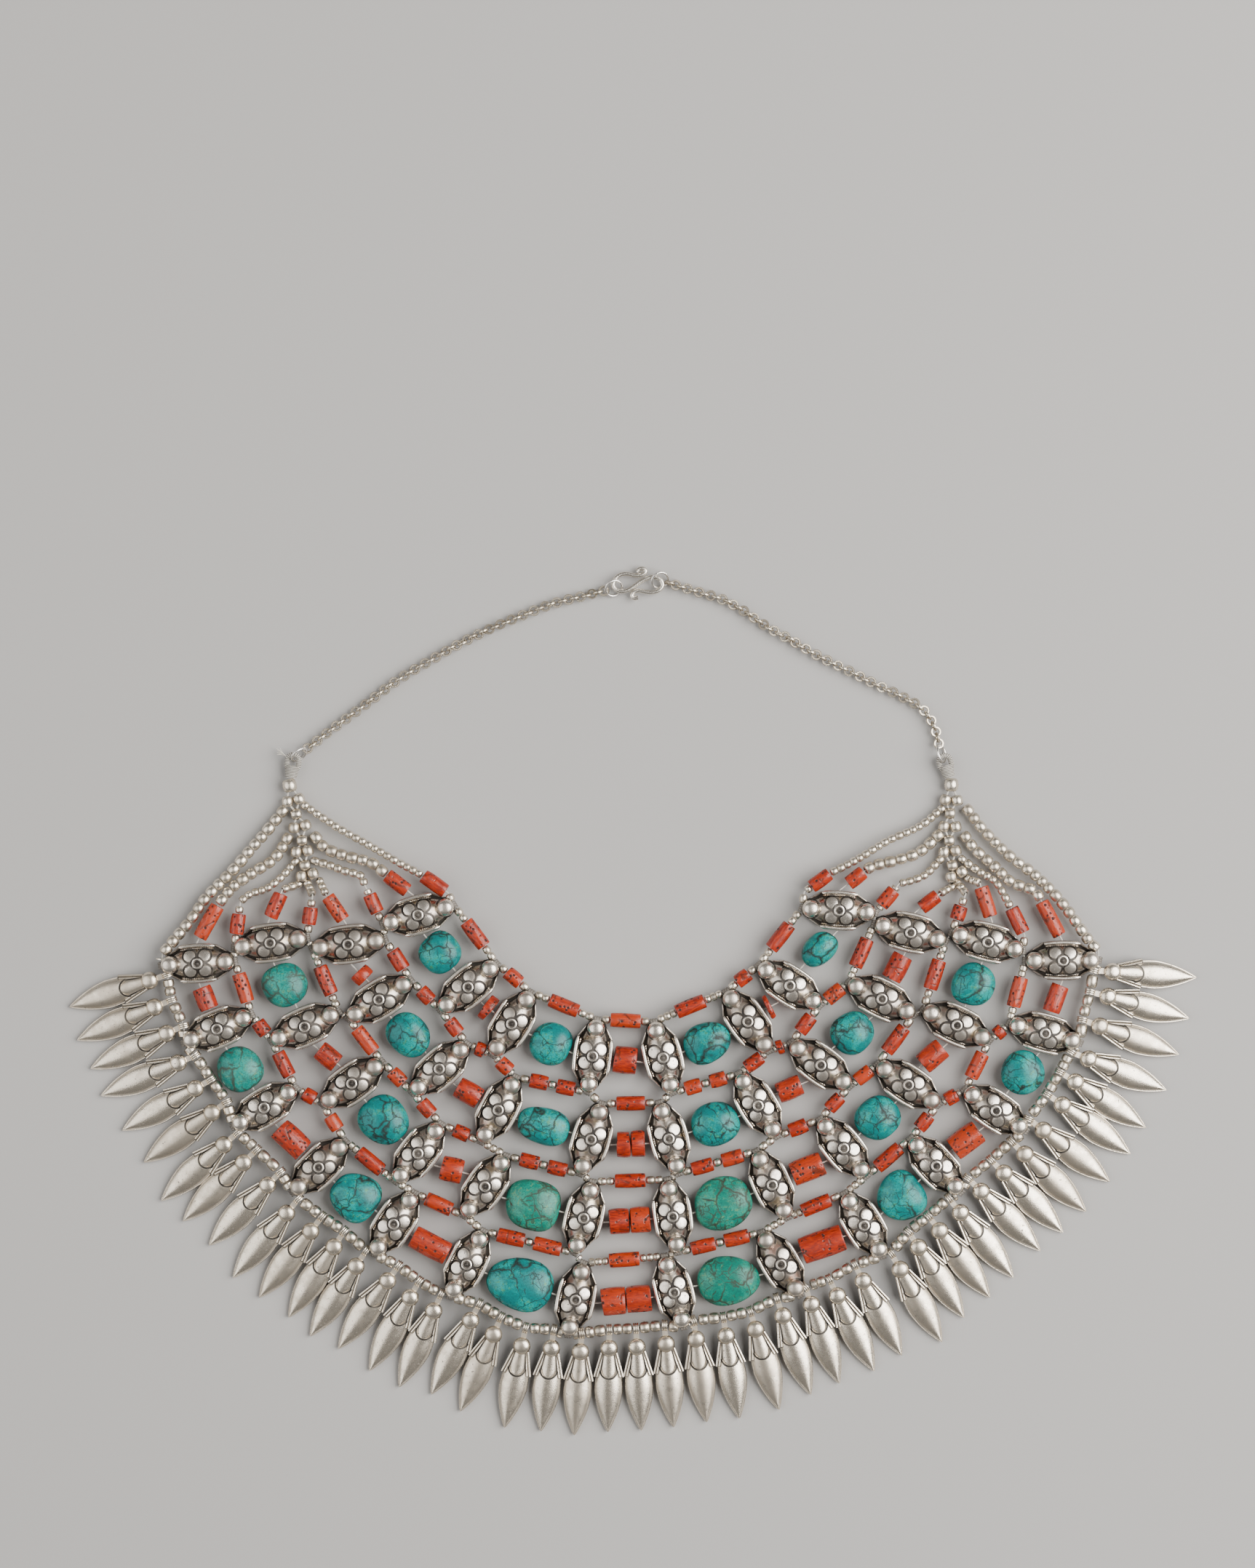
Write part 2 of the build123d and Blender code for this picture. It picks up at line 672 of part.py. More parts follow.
def pendant_body():
    """One pendant along X from the bail's centre, in its own tilted frame."""
    upright = (Align.CENTER, Align.CENTER, Align.MIN)
    base_x = pendant_dome_reach + pendant_dome_diameter / 2
    widest_x = pendant_dome_reach + 0.54 * (pendant_length - pendant_dome_reach)
    tip = (pendant_length, 0)
    base_left, base_right = (base_x, leaf_base_width / 2), (base_x, -leaf_base_width / 2)
    outline = ThreePointArc(base_left, (widest_x, leaf_width / 2), tip)
    outline += ThreePointArc(tip, (widest_x, -leaf_width / 2), base_right)
    outline += Line(base_right, base_left)
    leaf = Pos(0, 0, -pendant_back_drop) * extrude(make_face(outline), 2 * leaf_ridge_rise)
    leaf &= keel_roof(0)
    shield_straight = shield_length - shield_width / 2
    shield = Pos(pendant_dome_reach + shield_straight / 2, 0) * Rectangle(shield_straight, shield_width)
    shield += Pos(pendant_dome_reach + shield_straight, 0) * Circle(shield_width / 2)
    shield = Pos(0, 0, -pendant_back_drop) * extrude(shield, 4 * leaf_ridge_rise)
    body = leaf + (shield & keel_roof(shield_relief))
    for side in (-1, 1):
        bar = Box(
            side_wire_length, side_wire_width, pendant_back_drop + leaf_ridge_rise / 2,
            align=(Align.MIN, Align.CENTER, Align.MIN),
        )
        start = Vector(pendant_dome_reach, side * pendant_dome_diameter * 0.2, -pendant_back_drop)
        body += Pos(*start) * Rot(0, 0, side * side_wire_angle) * bar
    body += Pos(pendant_dome_reach, 0, 0) * domed_post(
        pendant_dome_diameter, -pendant_back_drop, leaf_edge_thickness, pendant_dome_rise
    )
    neck_reach = pendant_dome_reach - pendant_dome_diameter * 0.4
    return body + Pos(0, 0, -pendant_back_drop * 0.7) * Box(
        neck_reach, neck_width, pendant_back_drop * 1.4, align=(Align.MIN, Align.CENTER, Align.MIN)
    )


def keel_roof(raised):
    """A long roof about X whose ridge falls from the leaf's base to its tip."""
    rise = leaf_ridge_rise + pendant_back_drop - leaf_edge_thickness
    slope = rise / (leaf_width / 2)
    deep = 2 * leaf_width
    base = -pendant_back_drop
    ridge = leaf_ridge_rise + raised
    gable = Polyline(
        (-deep / 2, base), (deep / 2, base), (deep / 2, ridge - slope * deep / 2), (0, ridge),
        (-deep / 2, ridge - slope * deep / 2), close=True,
    )
    if ridge - slope * deep / 2 < base:
        half = (ridge - base) / slope
        gable = Polyline((-half, base), (half, base), (0, ridge), close=True)
    roof = extrude(Plane.YZ * make_face(gable), pendant_length)
    fall = degrees(atan2(rise, pendant_length))
    floor = Pos(0, 0, base) * Box(
        2 * pendant_length, deep, deep, align=(Align.CENTER, Align.CENTER, Align.MIN)
    )
    turned = Rot(0, fall, 0) * Pos(0, 0, -leaf_ridge_rise) * roof
    return floor & (Pos(pendant_dome_reach, 0, leaf_ridge_rise) * turned)


def pendant_nodes():
    """The pendants left and right of the middle, each hung on the outermost strand."""
    body = pendant_body()
    passing = knots(5)[2]
    fall = thread_height - pendant_back_drop - table_gap
    tilt = degrees(atan2(fall, sqrt(pendant_length**2 - fall**2)))
    hung = []
    for number, (x, y, bearing) in enumerate(pendants, start=1):
        point, direction = passing[f"p{number}"]
        piece = Pos(x * unit, y * unit, thread_height) * Rot(0, 0, bearing) * Rot(0, tilt, 0) * body
        piece += along(point, direction, bail_width, bail_diameter / 2)
        piece -= along(point, direction, bail_width * 2.4, bore_diameter / 2)
        hung.append(piece)
    return hung[:pendants_on_the_left], hung[pendants_on_the_left:]


def bead_column(route):
    """A woven column: single beads and pairs by turns, on a core from single to single."""
    points = [place(x, y, terminal_height) for x, y in route]
    joints = points[::2] if len(points) % 2 else points[::2] + points[-1:]
    cores = [
        along((low + high) * 0.5, high - low, (high - low).length, column_core_diameter / 2)
        for low, high in zip(joints, joints[1:])
    ]
    radius = column_bead_diameter / 2
    beads = []
    for index, point in enumerate(points):
        run = points[min(index + 1, len(points) - 1)] - points[max(index - 1, 0)]
        sideways = Vector(-run.Y, run.X, 0).normalized()
        if index == 0:
            beads.append(Plane(point, sideways, run) * Sphere(column_top_bead_diameter / 2))
        elif index % 2 == 0:
            beads.append(Plane(point, sideways, run) * Sphere(radius))
        else:
            for side in (-1, 1):
                outward = sideways * side
                beads.append(Plane(point + outward * (radius + 0.03), outward, run) * Sphere(radius))
    column = cores[0]
    for piece in cores[1:] + beads:
        column += piece
    return column


def thread_loop(arch, column):
    """The bound thread loop above a woven column: a hairpin with a wrapped foot."""
    centre = place(*arch, terminal_height)
    foot = place(*column[0], terminal_height)
    down = foot - centre
    wrap_end = down.length - column_top_bead_diameter / 2 - bead_gap
    leg_start = wrap_length / 2 - wrap_end
    hairpin_route = Line((leg_start, -loop_arch_radius), (0, -loop_arch_radius))
    hairpin_route += ThreePointArc(
        (0, -loop_arch_radius), (loop_arch_radius, 0), (0, loop_arch_radius)
    )
    hairpin_route += Line((0, loop_arch_radius), (leg_start, loop_arch_radius))
    section = Plane(origin=(leg_start, -loop_arch_radius, 0), z_dir=(1, 0, 0)) * Circle(
        loop_thread_diameter / 2
    )
    loop = sweep(section, path=hairpin_route)
    wide = loop_arch_radius + loop_thread_diameter * 0.3
    wrap = Pos(wrap_length / 2 - wrap_end, 0, 0) * Rot(0, 90, 0) * Cone(
        column_top_bead_diameter / 2, wide, wrap_length
    )
    deep = 2 * terminal_height - 4 * table_gap
    loop += wrap & Box(4 * wrap_end, 4 * wide, deep)
    return Plane(origin=centre, x_dir=-down, z_dir=(0, 0, 1)) * loop


def ring_height(lean):
    """The height of a leaning ring's middle when its lowest point is just off the table."""
    return ring_radius * sin(radians(lean)) + ring_wire_diameter / 2 + table_gap


def loop_ring_plane(arch, chain):
    """The plane of the ring that passes down through the middle of a thread loop's arch."""
    hole = place(*arch, terminal_height)
    toward = place(*chain[0], terminal_height) - hole
    toward = toward.normalized()
    lean = radians(loop_ring_lean)
    sideways = Vector(-toward.Y, toward.X, 0)
    up = sideways * cos(lean) + Vector(0, 0, 1) * sin(lean)
    rise = (ring_height(loop_ring_lean) - terminal_height) / sin(lean)
    middle = hole + toward * sqrt(ring_radius**2 - rise**2) + up * rise
    return Plane(origin=middle, z_dir=toward.cross(up))


def hook_ring_plane(x, y, bearing):
    """The plane of a ring over the hook's wire towards the bearing and under it opposite."""
    slope = radians(hook_ring_slope)
    uphill = Vector(cos(radians(bearing)), sin(radians(bearing)), 0)
    axis = Vector(0, 0, cos(slope)) - uphill * sin(slope)
    return Plane(origin=place(x, y, ring_height(hook_ring_slope)), z_dir=axis)


def ring(plane):
    """A round wire ring in a plane."""
    return plane * Torus(ring_radius, ring_wire_diameter / 2)


def s_hook():
    """The hook bent from one round wire with a curl at each end."""
    height = ring_height(hook_ring_slope)
    return round_tube([place(x, y, height) for x, y in hook_route], hook_wire_diameter)


def chain_tube(loop_plane, route, hook_plane):
    """The space that a chain of round links takes between its two rings."""
    height = chain_width / 2 + table_gap
    points = [place(x, y, height) for x, y in route]
    ends = []
    for plane, neighbour in (loop_plane, points[0]), (hook_plane, points[-1]):
        middle = Vector(plane.origin.X, plane.origin.Y, height)
        reach = ring_radius + ring_wire_diameter / 2 + link_gap
        ends.append(middle + (neighbour - middle).normalized() * reach)
    return round_tube([ends[0]] + points + [ends[1]], chain_width)


def all_nodes():
    """Every node of the necklace by name, each as a list of solids."""
    nodes = {}
    for row in range(1, len(flower_rows) + 1):
        nodes[f"flower_beads_row_{row}"] = flower_beads(row)
        nodes[f"row_corals_{row}"] = row_corals(row)
        nodes[f"strand_corals_{row}"] = strand_corals(row)
        nodes[f"row_string_{row}"] = [row_string(row)]
        for number, stone in enumerate(turquoise_stones(row), start=1):
            nodes[f"turquoise_row_{row}_{number}"] = [stone]
    for strand in range(1, len(beading_order) + 1):
        nodes[f"edge_string_{strand}"] = [edge_string(strand)]
    nodes["pendants_left"], nodes["pendants_right"] = pendant_nodes()
    nodes["bead_column_left"] = [bead_column(column_left)]
    nodes["bead_column_right"] = [bead_column(column_right)]
    nodes["thread_loop_left"] = [thread_loop(loop_arch_left, column_left)]
    nodes["thread_loop_right"] = [thread_loop(loop_arch_right, column_right)]
    for side, arch, chain, hook_ring in (
        ("left", loop_arch_left, chain_left, hook_ring_left),
        ("right", loop_arch_right, chain_right, hook_ring_right),
    ):
        loop_plane = loop_ring_plane(arch, chain)
        hook_plane = hook_ring_plane(*hook_ring)
        nodes[f"loop_ring_{side}"] = [ring(loop_plane)]
        nodes[f"hook_ring_{side}"] = [ring(hook_plane)]
        nodes[f"chain_{side}"] = [chain_tube(loop_plane, chain, hook_plane)]
    nodes["s_hook"] = [s_hook()]
    return nodes


os.makedirs("parts", exist_ok=True)
necklace = {}
for name, made in all_nodes().items():
    necklace[name] = [solid for piece in made for solid in piece.solids()]
boxes = [solid.bounding_box() for solids in necklace.values() for solid in solids]
middle_x = (min(box.min.X for box in boxes) + max(box.max.X for box in boxes)) / 2
middle_y = (min(box.min.Y for box in boxes) + max(box.max.Y for box in boxes)) / 2
for name, solids in necklace.items():
    centred = [Pos(-middle_x, -middle_y, 0) * solid for solid in solids]
    whole = centred[0] if len(centred) == 1 else Compound(children=centred)
    export_step(whole, f"parts/{name}.step")
    print(name, len(solids))
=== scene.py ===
import functools
import math

import bpy
import numpy as np
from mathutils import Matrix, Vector


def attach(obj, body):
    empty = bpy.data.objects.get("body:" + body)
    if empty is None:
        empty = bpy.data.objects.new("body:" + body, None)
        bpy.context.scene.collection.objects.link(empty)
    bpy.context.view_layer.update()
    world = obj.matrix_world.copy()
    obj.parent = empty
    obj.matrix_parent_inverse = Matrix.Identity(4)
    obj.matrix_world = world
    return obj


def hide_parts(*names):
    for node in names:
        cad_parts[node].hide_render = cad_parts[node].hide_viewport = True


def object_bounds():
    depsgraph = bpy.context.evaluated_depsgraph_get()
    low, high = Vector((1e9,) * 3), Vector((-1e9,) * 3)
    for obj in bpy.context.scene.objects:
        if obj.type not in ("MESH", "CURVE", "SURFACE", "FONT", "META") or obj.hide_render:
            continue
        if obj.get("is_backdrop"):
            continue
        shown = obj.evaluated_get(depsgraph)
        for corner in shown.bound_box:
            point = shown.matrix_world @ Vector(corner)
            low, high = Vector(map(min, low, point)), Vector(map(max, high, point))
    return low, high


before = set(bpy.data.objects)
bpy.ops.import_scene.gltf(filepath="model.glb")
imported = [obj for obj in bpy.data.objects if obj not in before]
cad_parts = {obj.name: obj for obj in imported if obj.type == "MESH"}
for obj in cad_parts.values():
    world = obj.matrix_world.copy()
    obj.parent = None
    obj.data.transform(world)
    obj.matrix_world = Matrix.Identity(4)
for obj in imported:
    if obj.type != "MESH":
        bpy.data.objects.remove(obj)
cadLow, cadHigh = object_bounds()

mm = 0.001
up = np.array([0.0, 0.0, 1.0])

# Lengths that the solids have too, in metres
net = {
    "unit": 0.202 * mm,             # one hundredth of the pitch
    "pitch": 20.2 * mm,             # from the middle of a bead's one tube to that of the other
    "threadHeight": 4.2 * mm,
    "columnHeight": 2.1 * mm,
    "firstBead": (-291, 120),
    "beadWidth": 11.0 * mm,
    "mouth": 0.1 * mm,              # from the side of a bead to where its row thread enters
    "tubeLength": 2.0 * mm,
    "tubeDiameter": 1.9 * mm,
    "bailWidth": 1.6 * mm,
    "bailDiameter": 3.2 * mm,
    "smallSeed": 2.3 * mm,
    "largeSeed": 3.2 * mm,
    "neckMiddle": (0.0, 0.055),
    "sortMiddle": (0.0, 0.115),     # the point round which pieces are put in order
}

# Order of the edge strands from left to right: i3 is the inner end of bead 3 of the
# strand's own row, o3 the outer end of bead 3 of the row above, p3 a pendant, b a bend
beadingOrder = [
    "b1 i1 i2 i3 i4 i5 i6 i7 i8 b2",
    "o1 i1 i2 o2 i3 o3 i4 o4 i5 i6 o5 i7 o6 i8 o7 i9 i10 o8",
    "i1 o1 i2 o2 i3 o3 i4 o4 i5 o5 i6 i7 o6 i8 o7 i9 o8 i10 o9 i11 o10 i12",
    "o1 i1 i2 o2 i3 o3 i4 o4 i5 o5 i6 o6 i7 i8 o7 i9 o8 i10 o9 i11 o10 i12 o11 i13 i14 o12 b3",
    "o1 p1 p2 p3 o2 p4 p5 p6 o3 p7 p8 p9 o4 p10 p11 p12 p13 o5 p14 p15 p16 o6 p17 p18 p19"
    " p20 o7 p21 p22 p23 p24 o8 p25 p26 p27 p28 o9 p29 p30 p31 o10 p32 p33 p34 p35 o11 p36"
    " p37 p38 o12 p39 p40 p41 p42 o13 p43 p44 p45 o14",
]
strandBends = [(-251, 150), (234, 151), (534, 92)]

# Fans of seed beads from the woven columns to each thread, in hundredths of the pitch
edgeFans = {
    "left": [
        [(-442, 266), (-402, 239), (-359, 215), (-318, 191), (-286, 174)],
        [(-429, 192), (-412, 187), (-391, 179), (-370, 173), (-364, 160)],
        [(-441, 159), (-435, 147)],
        [(-462, 189), (-478, 171), (-497, 156), (-520, 148), (-533, 138)],
        [(-478, 259), (-497, 235), (-518, 211), (-539, 186), (-561, 163), (-582, 141),
         (-600, 114), (-620, 90), (-639, 67)],
    ],
    "right": [
        [(418, 261), (391, 240), (347, 220), (304, 194), (270, 177)],
        [(417, 192), (399, 174), (376, 165), (364, 163)],
        [(446, 160), (454, 149)],
        [(453, 193), (474, 178), (496, 163), (515, 130)],
        [(459, 261), (479, 235), (513, 201), (552, 171), (585, 136), (621, 86), (634, 72)],
    ],
}
rowFans = {
    "left": [
        [(-430, 224), (-417, 210), (-387, 199), (-356, 191), (-335, 175)],
        [(-424, 162), (-417, 148)],
        [(-459, 160), (-476, 154)],
        [(-471, 222), (-488, 196), (-517, 177), (-543, 158), (-563, 134)],
    ],
    "right": [
        [(415, 226), (391, 205), (360, 194), (330, 187), (317, 180)],
        [(433, 156), (419, 149)],
        [(461, 168), (473, 163)],
        [(456, 224), (468, 208), (493, 186), (517, 164), (546, 153), (556, 140)],
    ],
}
columnRoutes = {
    "left": [(-467, 296), (-462, 276), (-458, 257), (-453, 240), (-450, 221), (-450, 206),
             (-446, 187), (-443, 174)],
    "right": [(435, 297), (435, 276), (433, 258), (433, 240), (432, 221), (433, 206),
              (436, 187), (442, 175)],
}
loopArches = {"left": (-462, 330), "right": (426, 329)}
chainRoutes = {
    "left": [(-405, 376), (-363, 407), (-321, 439), (-278, 465), (-236, 489), (-193, 510),
             (-150, 528), (-108, 544), (-68, 554)],
    "right": [(411, 378), (395, 401), (364, 419), (328, 436), (292, 454), (255, 472),
              (219, 493), (183, 513), (152, 534), (122, 550), (83, 562)],
}


def unit(vectors):
    # each vector divided by its own length
    vectors = np.asarray(vectors, float)
    return vectors / np.maximum(np.linalg.norm(vectors, axis=-1, keepdims=True), 1e-12)


# A shape is a dictionary of points, quads, tris and marks, which are values by name on its points
def shape(points, quads, tris=(), **marks):
    # one whose volume, summed from the origin, is below nought is inside out: its faces turn
    points = np.asarray(points, float).reshape(-1, 3)
    quads, tris = np.asarray(quads, int).reshape(-1, 4), np.asarray(tris, int).reshape(-1, 3)
    corners = np.concatenate([tris, quads[:, :3], quads[:, [0, 2, 3]]])
    a, b, c = points[corners.T]
    if (a * np.cross(b, c)).sum() < 0:
        quads, tris = quads[:, ::-1], tris[:, ::-1]
    return {"points": points, "quads": quads, "tris": tris, "marks": marks}


def markRows(model, name):
    # a mark as a row of numbers for each point; the mark "local" has three, any other has one
    size = (len(model["points"]), 3 if name == "local" else 1)
    mark = np.asarray(model["marks"].get(name, 0.0), float)
    return mark.reshape(size) if mark.ndim else np.full(size, float(mark))


def joined(shapes):
    # several shapes as one: faces are renumbered, and a mark that one of them lacks is nought
    starts = np.cumsum([0] + [len(s["points"]) for s in shapes])
    whole = {"points": np.concatenate([s["points"] for s in shapes])}
    for kind in ("quads", "tris"):
        whole[kind] = np.concatenate([s[kind] + start for s, start in zip(shapes, starts)])
    names = sorted({name for s in shapes for name in s["marks"]})
    whole["marks"] = {name: np.concatenate([markRows(s, name) for s in shapes]) for name in names}
    return whole


def skinned(rings, closed=False, **marks):
    # a skin over rings of points: the last ring joins the first, or each end has a pole
    rings = np.asarray(rings, float)
    count, around = rings.shape[:2]
    ring, side = np.meshgrid(np.arange(count if closed else count - 1), np.arange(around), indexing="ij")
    nextRing, nextSide = (ring + 1) % count, (side + 1) % around
    quads = np.stack([ring * around + side, ring * around + nextSide,
                      nextRing * around + nextSide, nextRing * around + side], -1)
    points = rings.reshape(-1, 3)
    if closed:
        return shape(points, quads, **marks)
    side = np.arange(around)
    after = (side + 1) % around
    end, pole = (count - 1) * around, np.full(around, count * around)
    tris = [np.stack([pole, after, side], -1), np.stack([pole + 1, end + side, end + after], -1)]
    return shape(np.concatenate([points, [rings[0].mean(0), rings[-1].mean(0)]]), quads, tris, **marks)


def roundAngles(sides):
    # equal steps once round a circle
    return np.linspace(0, 2 * np.pi, sides, endpoint=False)


def gridOf(x, y, z):
    # rings of points from whole arrays of x, y and z
    return np.stack(np.broadcast_arrays(x, y, z), -1)


def turned(profile, sides, closed=False, squash=1.0, **marks):
    # a profile of (place on the axis, radius) turned about X: y = r cos t, z = r sin t
    x, radius = np.asarray(profile, float).T[:, :, None]
    t, radius = roundAngles(sides), radius * squash
    return skinned(gridOf(x, radius * np.cos(t), radius * np.sin(t)), closed, **marks)


def carried(path, section, closed=False, scale=1.0, **marks):
    # a section of (a, b) points carried along a path: point + scale (a side + b top)
    path, section = np.asarray(path, float), np.asarray(section, float)
    ahead = unit(np.roll(path, -1, 0) - np.roll(path, 1, 0) if closed else np.gradient(path, axis=0))
    side = unit(np.cross(up, ahead))
    top = np.cross(ahead, side)
    section = section * np.broadcast_to(scale, len(path))[:, None, None]
    rings = path[:, None] + section[..., :1] * side[:, None] + section[..., 1:] * top[:, None]
    return skinned(rings, closed, **marks)


def circle(radius, sides):
    # a round section: radius times the cosine and sine of each angle
    t = roundAngles(sides)
    return np.stack([radius * np.cos(t), radius * np.sin(t)], -1)


def bar(half, low, high):
    # a flat-sided section
    return [(-half, low), (half, low), (half, high), (-half, high)]


def copies(model, origins, xAxes, zAxes=None, scales=1.0, **marks):
    # one shape set down many times: origin + x * xAxis + y * yAxis + z * zAxis
    origins, xAxes = np.asarray(origins, float), unit(xAxes)
    yAxes = unit(np.cross(up if zAxes is None else zAxes, xAxes))
    turn = np.stack([xAxes, yAxes, np.cross(xAxes, yAxes)], 1)
    count, size = len(origins), len(model["points"])
    scales = np.broadcast_to(scales, (count, 3))[:, None]
    placed = np.einsum("nvi,nij->nvj", model["points"] * scales, turn) + origins[:, None]
    steps = np.arange(count)[:, None, None] * size
    ownMarks = {name: np.tile(markRows(model, name), (count, 1)) for name in model["marks"]}
    newMarks = {name: np.repeat(mark, size) for name, mark in marks.items()}
    return {
        "points": placed.reshape(-1, 3),
        "quads": (model["quads"] + steps).reshape(-1, 4),
        "tris": (model["tris"] + steps).reshape(-1, 3),
        "marks": {**ownMarks, **newMarks},
    }


def upright(model, spots=((0, 0, 0),), fronts=((1, 0, 0),)):
    # a shape that was turned about X, stood up on its end at each spot
    return copies(model, spots, [(0, 0, 1)] * len(spots), fronts)


def inMetres(parts):
    # parts drawn in mm as one shape; the mark "local" keeps each point's place in mm
    whole = joined(parts)
    whole["marks"]["local"] = whole["points"].copy()
    whole["points"] *= mm
    return whole


def domeOutline(foot, top, wide, under):
    # points under the foot, then a cap that rises as (1 - share to the 3.2) to the 0.55
    share = np.array([1.0, 0.985, 0.93, 0.84, 0.7, 0.5, 0.25, 0.02])
    cap = np.stack([foot + (top - foot) * (1 - share**3.2) ** 0.55, wide * share], -1)
    return np.concatenate([under, cap])


def linked(name, data):
    # an object in the scene for a mesh, a light or a camera
    thing = bpy.data.objects.new(name, data)
    bpy.context.scene.collection.objects.link(thing)
    return thing


def makePiece(name, made, material, stands=(), sharp=40):
    # the mesh of a shape with its marks, riding the necklace in place of the nodes it stands for
    mesh = bpy.data.meshes.new(name)
    mesh.from_pydata(made["points"].tolist(), [], made["quads"].tolist() + made["tris"].tolist())
    for markName, mark in made["marks"].items():
        kind, field = ("FLOAT_VECTOR", "vector") if markName == "local" else ("FLOAT", "value")
        layer = mesh.attributes.new(markName, kind, "POINT")
        layer.data.foreach_set(field, np.ascontiguousarray(mark, np.float32).ravel())
    mesh.polygons.foreach_set("use_smooth", np.ones(len(mesh.polygons), bool))
    mesh.set_sharp_from_angle(angle=math.radians(sharp))
    mesh.update()
    piece = linked(name, mesh)
    mesh.materials.append(material)
    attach(piece, "root")
    if stands:
        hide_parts(*stands)
    print("made", name, len(mesh.polygons), "faces")


def solidsOf(nodeName):
    # each solid of a node as (its triangles, its points): points equal to a thousandth of a
    # millimetre are merged, then the lowest label spreads over joined triangles till it settles
    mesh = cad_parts[nodeName].data
    mesh.calc_loop_triangles()
    spots = np.empty(len(mesh.vertices) * 3, np.float32)
    mesh.vertices.foreach_get("co", spots)
    spots = spots.reshape(-1, 3).astype(float)
    corners = np.empty(len(mesh.loop_triangles) * 3, np.int32)
    mesh.loop_triangles.foreach_get("vertices", corners)
    _, first, same = np.unique(np.round(spots * 1e6).astype(int), axis=0,
                               return_index=True, return_inverse=True)
    corners = same.reshape(-1)[corners].reshape(-1, 3)
    spots = spots[first]
    label, settled = np.arange(len(spots)), False
    while not settled:
        spread = label.copy()
        np.minimum.at(spread, corners.ravel(), np.repeat(label[corners].min(1), 3))
        spread = spread[spread]
        settled = (spread == label).all()
        label = spread
    label = label[corners[:, 0]]
    groups = [corners[label == one] for one in np.unique(label)]
    return [(spots[group], spots[np.unique(group)]) for group in groups]


def sizeUp(triangles):
    # centre and long level direction of a solid's skin, each triangle counted by its area
    a, b, c = triangles.transpose(1, 0, 2)
    area = np.linalg.norm(np.cross(b - a, c - a), axis=1) / 2
    middles = (a + b + c) / 3
    centre = (middles * area[:, None]).sum(0) / area.sum()
    flat = middles[:, :2] - centre[:2]
    direction = np.linalg.eigh(np.einsum("n,ni,nj->ij", area, flat, flat))[1][:, 1]
    return centre, np.array([*direction, 0.0])


def boxMiddle(points):
    # half-way between the lowest and highest of each coordinate
    return (points.min(0) + points.max(0)) / 2


def alongRun(points, start, ahead):
    # where a solid begins and ends along a run, its middle on it, and its points' places off it
    along = (points - start) @ ahead
    low, high = along.min(), along.max()
    return low, high, start + ahead * (low + high) / 2, points - start - along[:, None] * ahead


def fromLeft(spot):
    # the angle round the neck by which the pieces of a row are put in order
    return math.atan2(spot[0] - net["sortMiddle"][0], net["sortMiddle"][1] - spot[1])


flowerRows = []
for row in range(1, 5):
    found = []
    for triangles, _ in solidsOf(f"flower_beads_row_{row}"):
        centre, direction = sizeUp(triangles)
        if direction @ ((*net["neckMiddle"], 0.0) - centre) < 0:
            direction = -direction
        found.append((centre * (1, 1, 0), direction))
    flowerRows.append(sorted(found, key=lambda bead: fromLeft(bead[0])))
print("flower beads found", [len(row) for row in flowerRows])

shift = flowerRows[0][0][0] - np.array([*net["firstBead"], 0.0]) * net["unit"]


def place(x, y, height):
    # a spot given in hundredths of the pitch, moved to where the solids lie
    return np.array([x * net["unit"], y * net["unit"], height]) + shift


pendantEnd = 3 * mm     # the part of a pendant by which its higher end, the bail, is told
pendantFrames = []
for side in ("left", "right"):
    for triangles, points in solidsOf(f"pendants_{side}"):
        centre, direction = sizeUp(triangles)
        along = (points - centre) @ direction
        farHigh = points[along > along.max() - pendantEnd][:, 2].max()
        if farHigh > points[along < along.min() + pendantEnd][:, 2].max():
            direction, along = -direction, -along
        bailMiddle = centre + direction * (along.min() + net["bailDiameter"] / 2)
        bailMiddle[2] = net["threadHeight"]
        pendantFrames.append((bailMiddle, direction))
pendantFrames.sort(key=lambda hung: fromLeft(hung[0]))
print("pendants found", len(pendantFrames))


def knotPoint(strand, name):
    # a knot of the beading order: half a pitch from a bead's centre, a bail or a bend
    number = int(name[1:]) - 1
    if name[0] == "b":
        return place(*strandBends[number], net["threadHeight"])
    if name[0] == "p":
        return pendantFrames[number][0]
    row, hand = (strand, 1) if name[0] == "i" else (strand - 1, -1)
    centre, direction = flowerRows[row][number]
    return centre + direction * hand * net["pitch"] / 2 + up * net["threadHeight"]


def fanRoute(fan):
    # a fan's spots, rising evenly from the column's height to the threads'
    heights = np.linspace(net["columnHeight"], net["threadHeight"], len(fan))
    return np.array([place(x, y, height) for (x, y), height in zip(fan, heights)])


def longer(route, extra):
    # the same route, begun a little earlier along its first run
    return np.concatenate([[route[0] - unit(route[1] - route[0]) * extra], route])


def distancesOn(route):
    # how far each point lies from the start, measured along the route
    return np.concatenate([[0], np.cumsum(np.linalg.norm(np.diff(route, axis=0), axis=1))])


def pointsAt(at, gone, route):
    # the points of a route at given distances
    return np.stack([np.interp(at, gone, route[:, k]) for k in range(3)], -1)


def smoothed(points, step):
    # a cubic through the points, each piece leaving along the line between its neighbours
    points = np.asarray(points, float)
    padded = np.concatenate([[2 * points[0] - points[1]], points, [2 * points[-1] - points[-2]]])
    t = np.linspace(0, 1, 12, endpoint=False)[:, None, None]
    a, b, c, d = padded[:-3], padded[1:-2], padded[2:-1], padded[3:]
    curve = 0.5 * (2 * b + (c - a) * t + (2 * a - 5 * b + 4 * c - d) * t**2
                   + (3 * b - a - 3 * c + d) * t**3)
    curve = np.concatenate([curve.transpose(1, 0, 2).reshape(-1, 3), points[-1:]])
    gone = distancesOn(curve)
    count = max(2, int(round(gone[-1] / step)) + 1)
    return pointsAt(np.linspace(0, gone[-1], count), gone, curve)


